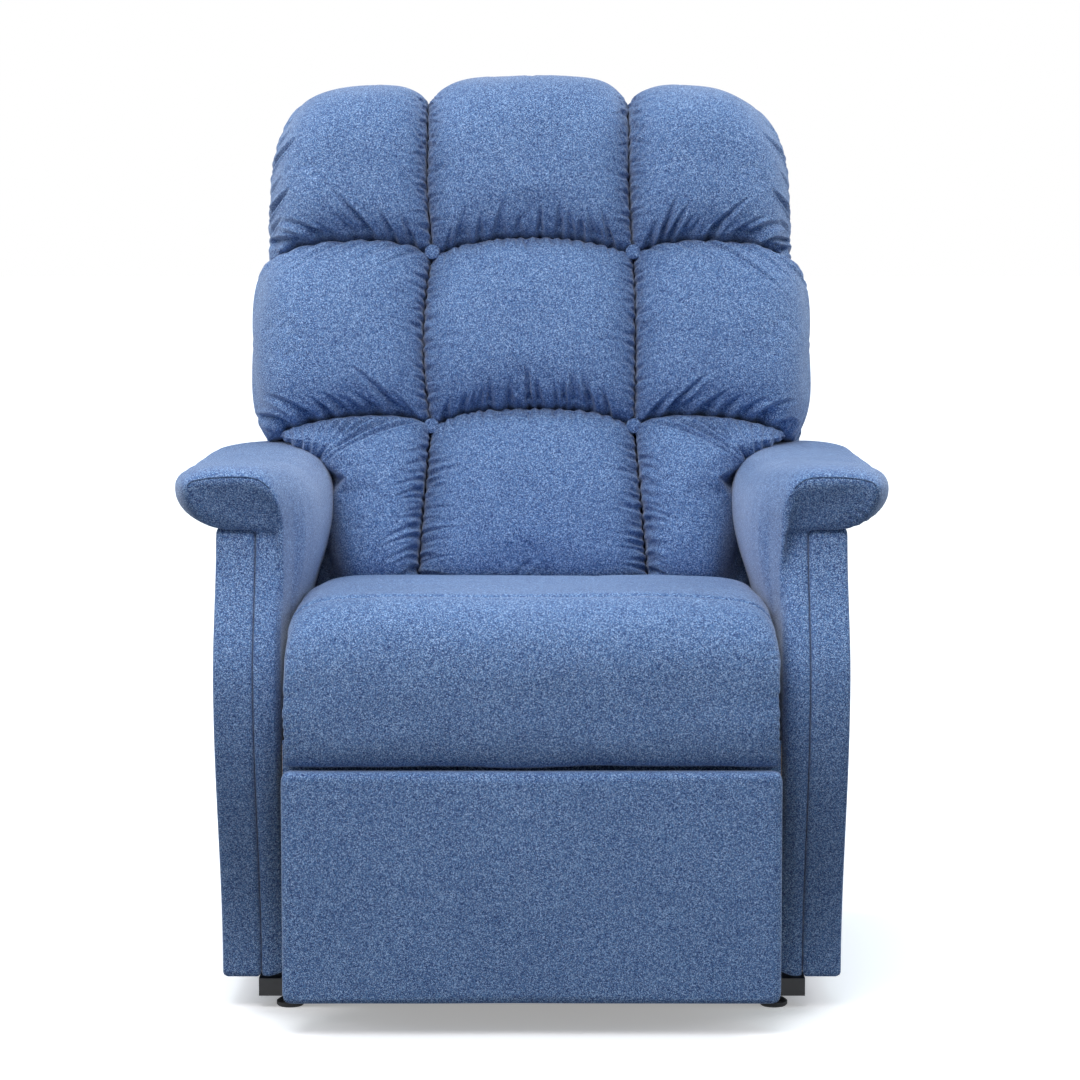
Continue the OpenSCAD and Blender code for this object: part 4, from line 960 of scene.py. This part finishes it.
def make_nose_seam(side, cover, cloth):
    """The sewn line along the top front edge of the pad, laid on the finished cover; its darker cloth is
    painted shade.
    """
    section = pad_section(NOSE_Y + 1)
    path = []
    for point in nose_lean(section[13:27]) * (side, 1, 1):
        nearest = cover.closest_point_on_mesh((point + (0, -4, 3)) * MM)[1]
        path.append(np.array(nearest) / MM)
    path = np.array(path)
    for _ in range(2):
        path = np.vstack([path[:1], (path[:-1] + path[1:]) / 2, path[-1:]])
    piece = tube(f"{COLUMN_NAMES[side]}_nose_seam", path + (0, -0.3, 0.4), 1.0, cloth)
    upholster(piece, [], "carriage")


def tube(name, path, radius, material):
    """A thin round strand along a path, closed at both ends."""
    turn = np.linspace(0, 2 * math.pi, 10, endpoint=False)
    along = np.gradient(path, axis=0)
    along /= np.linalg.norm(along, axis=1, keepdims=True)
    loops = []
    for point, direction in zip(path, along):
        first = np.cross(direction, (0.0, 1.0, 0.2))
        first /= np.linalg.norm(first)
        second = np.cross(direction, first)
        loops.append(point + radius * (np.cos(turn)[:, None] * first + np.sin(turn)[:, None] * second))
    return closed_loft(name, loops, material)


def make_arm_cover(side, cloth, seam_shade_cloth):
    """Inner face, front post and rolled pad of an arm, upholstered in one."""
    pad_loops = mirrored([nose_lean(pad_section(y)) for y in PAD_STATIONS], side)
    pad = closed_loft("arm_pad_part", pad_loops, cloth)
    outline = [(arm_front(z) + 1, z) for z in np.linspace(ARM_BOTTOM, ARM_TOP, 40)]
    outline += [(-364, 612), (-358, 622), (-348, 632), (-335, 640)]
    outline += [(ARM_REAR - 6, 640), (ARM_REAR - 6, ARM_BOTTOM + 4)]
    outline = resampled(np.array(outline), 170)
    post_loops = mirrored(slab_loops(outline, POST_X0, POST_X1, 20, 2), side)
    post = closed_loft("arm_post_part", post_loops, cloth)
    cover = joined(f"{COLUMN_NAMES[side]}_arm_cover", pad, post)
    softened(cover, 3.6, 5)
    points = points_of(cover)
    on_pad = smooth_step((points[:, 2:] - 500) / 80)
    points += waves(points, 120, 50 + side)[:, None] * (0, 0, 1) * on_pad
    move_points(cover, points + arm_puckers(points, side))
    nodes = [f"{COLUMN_NAMES[side]}_{node}" for node in ("inner_panel", "front_post", "arm_pad")]
    upholster(cover, nodes, "carriage")
    make_nose_seam(side, cover, seam_shade_cloth)


def arm_puckers(points, side):
    """Small diagonal puckers where the nose of the sitter's left pad turns under."""
    x, y, z = np.abs(points[:, 0]), points[:, 1], points[:, 2]
    near = np.exp(-((x - 398) / 20) ** 2 - ((z - 620) / 16) ** 2) * (y < -340) * (side > 0)
    wave = np.sin((0.5 * x + z) / 1.7)
    move = np.zeros_like(points)
    move[:, 1] = 1.6 * near * wave
    move[:, 2] = 0.8 * near * wave
    return move


# ---- Footrest, rear panel and the rest of the upholstery
BACK_LENGTH = 752.0
PANEL_TOP = 738
# Half widths of the back below and above its flare, and where the flare starts and how high it is
LOW_HALF, HIGH_HALF, FLARE_V, FLARE_RISE = 303.2, 376.0, 228.0, 40
# Height above which the crest of the back narrows
CREST_V = BACK_LENGTH * 0.6


def make_footrest(cloth):
    """Footrest panel: a slab with rounded edges and a slightly crowned front."""
    low, high = node_box("footrest_pad")
    outline = rounded_outline((low[0], low[2]), (high[0], high[2] + 1), 8, 240)
    loops = []
    for depth, inset in ((0, 10), (1.2, 4.5), (4, 1), (8, 0), (20, 0), (28, 1.5), (29.5, 5)):
        ring = shrunk(outline, inset)
        loops.append(np.column_stack([ring[:, 0], np.full(len(ring), low[1] + depth), ring[:, 1]]))
    piece = closed_loft("footrest_cover", loops, cloth)
    softened(piece, 4, 1)
    points = points_of(piece)
    front = points[:, 1] < low[1] + 12
    s = points[:, 0] / high[0]
    t = (points[:, 2] - (low[2] + high[2]) / 2) / ((high[2] - low[2]) / 2)
    crown = np.clip(1 - np.abs(s) ** 4, 0, 1) * np.clip(1 - np.abs(t) ** 4, 0, 1)
    points[:, 1] -= front * (2.5 * crown + 0.6 * waves(points, 150, 12))
    move_points(piece, points)
    upholster(piece, ["footrest_pad"], "footrest")


def back_half(v):
    """Half width of the backrest's frame panel at v."""
    if v <= FLARE_V:
        return LOW_HALF
    if v <= FLARE_V + FLARE_RISE:
        return LOW_HALF + (HIGH_HALF - LOW_HALF) * math.sin(math.pi / 2 * (v - FLARE_V) / FLARE_RISE)
    drawn_in = 24 * float(smooth_step((v - 300) / 200))
    if v <= CREST_V:
        return HIGH_HALF - drawn_in
    return HIGH_HALF - drawn_in - 54 * ((v - CREST_V) / (BACK_LENGTH * 0.4)) ** 2.6


def back_slab(name, w0, w1, inset, node, cloth):
    """Upholstered slab in the outline of the backrest."""
    vs = [0, 130, 228, 236, 244, 252, 260, 268]
    vs += list(range(300, 450, 15))
    vs += [BACK_LENGTH * (0.6 + 0.02 * k) for k in range(21)]
    right = [(back_half(v) - inset, max(2, min(v, PANEL_TOP - inset))) for v in vs]
    left = [(-u, v) for u, v in reversed(right)]
    outline = resampled(np.array(right + left), 260)
    loops = []
    for w, edge in ((w0, 5), (w0 + 2, 1.5), (w0 + 6, 0), (w1 - 3, 0), (w1, 2)):
        ring = shrunk(outline, edge)
        loops.append(on_back(ring[:, 0], ring[:, 1], np.full(len(ring), float(w))))
    piece = closed_loft(name, loops[::-1], cloth)
    softened(piece, 5, 3)
    upholster(piece, [node], "backrest")


def make_apron(cloth):
    """Padded apron below the backrest, at the rear."""
    low, high = node_box("rear_apron")
    outline = rounded_outline((low[0], low[2]), (high[0], high[2]), 8, 160)
    loops = []
    for y in (low[1], high[1]):
        loops.append(np.column_stack([outline[:, 0], np.full(len(outline), y), outline[:, 1]]))
    piece = closed_loft("rear_apron_cover", loops, cloth)
    softened(piece, 4, 2)
    upholster(piece, ["rear_apron"], "carriage")


# ---- CAD nodes that stay: their own shapes with better finishes
def finish_cad_nodes():
    """Gives the frame, mechanism and wood their finishes; soft slots are left to the covers."""
    finishes = {"black_steel": powder_coat(), "zinc_steel": zinc_plate(),
                "black_plastic": moulded_plastic(), "pine": sawn_pine()}
    for part in frame["record"]["subparts"]:
        finish = finishes.get(part["material_slot"])
        if finish is None:
            continue
        mesh = frame["nodes"][part["node"]].data
        mesh.materials.clear()
        mesh.materials.append(finish)


make_camera()
make_studio()
finish_cad_nodes()
blue = heathered_fabric("blue_heather", (0.020, 0.045, 0.145), (0.105, 0.162, 0.335),
                        (0.095, 0.215, 0.440), (0.420, 0.575, 0.820))
# A darker copy of the blue cloth: painted shade along the sewn line on each arm's nose
blue_seam_painted_shade = heathered_fabric("blue_seam_painted_shade", (0.020, 0.045, 0.110), (0.060, 0.100, 0.210),
                             (0.060, 0.120, 0.250), (0.200, 0.280, 0.430))
for row in (0, 1, 2):
    for column in (-1, 0, 1):
        make_pillow(row, column, blue)
make_buttons(blue)
make_seat(blue)
make_rail_cloth(blue)
for side in (-1, 1):
    make_board(side, blue)
    make_arm_cover(side, blue, blue_seam_painted_shade)
make_footrest(blue)
back_slab("back_cover", 0, 22, 0, "back_rear_panel", blue)
back_slab("back_border", 22.3, 60, 0.6, "back_wings", blue)
make_apron(blue)
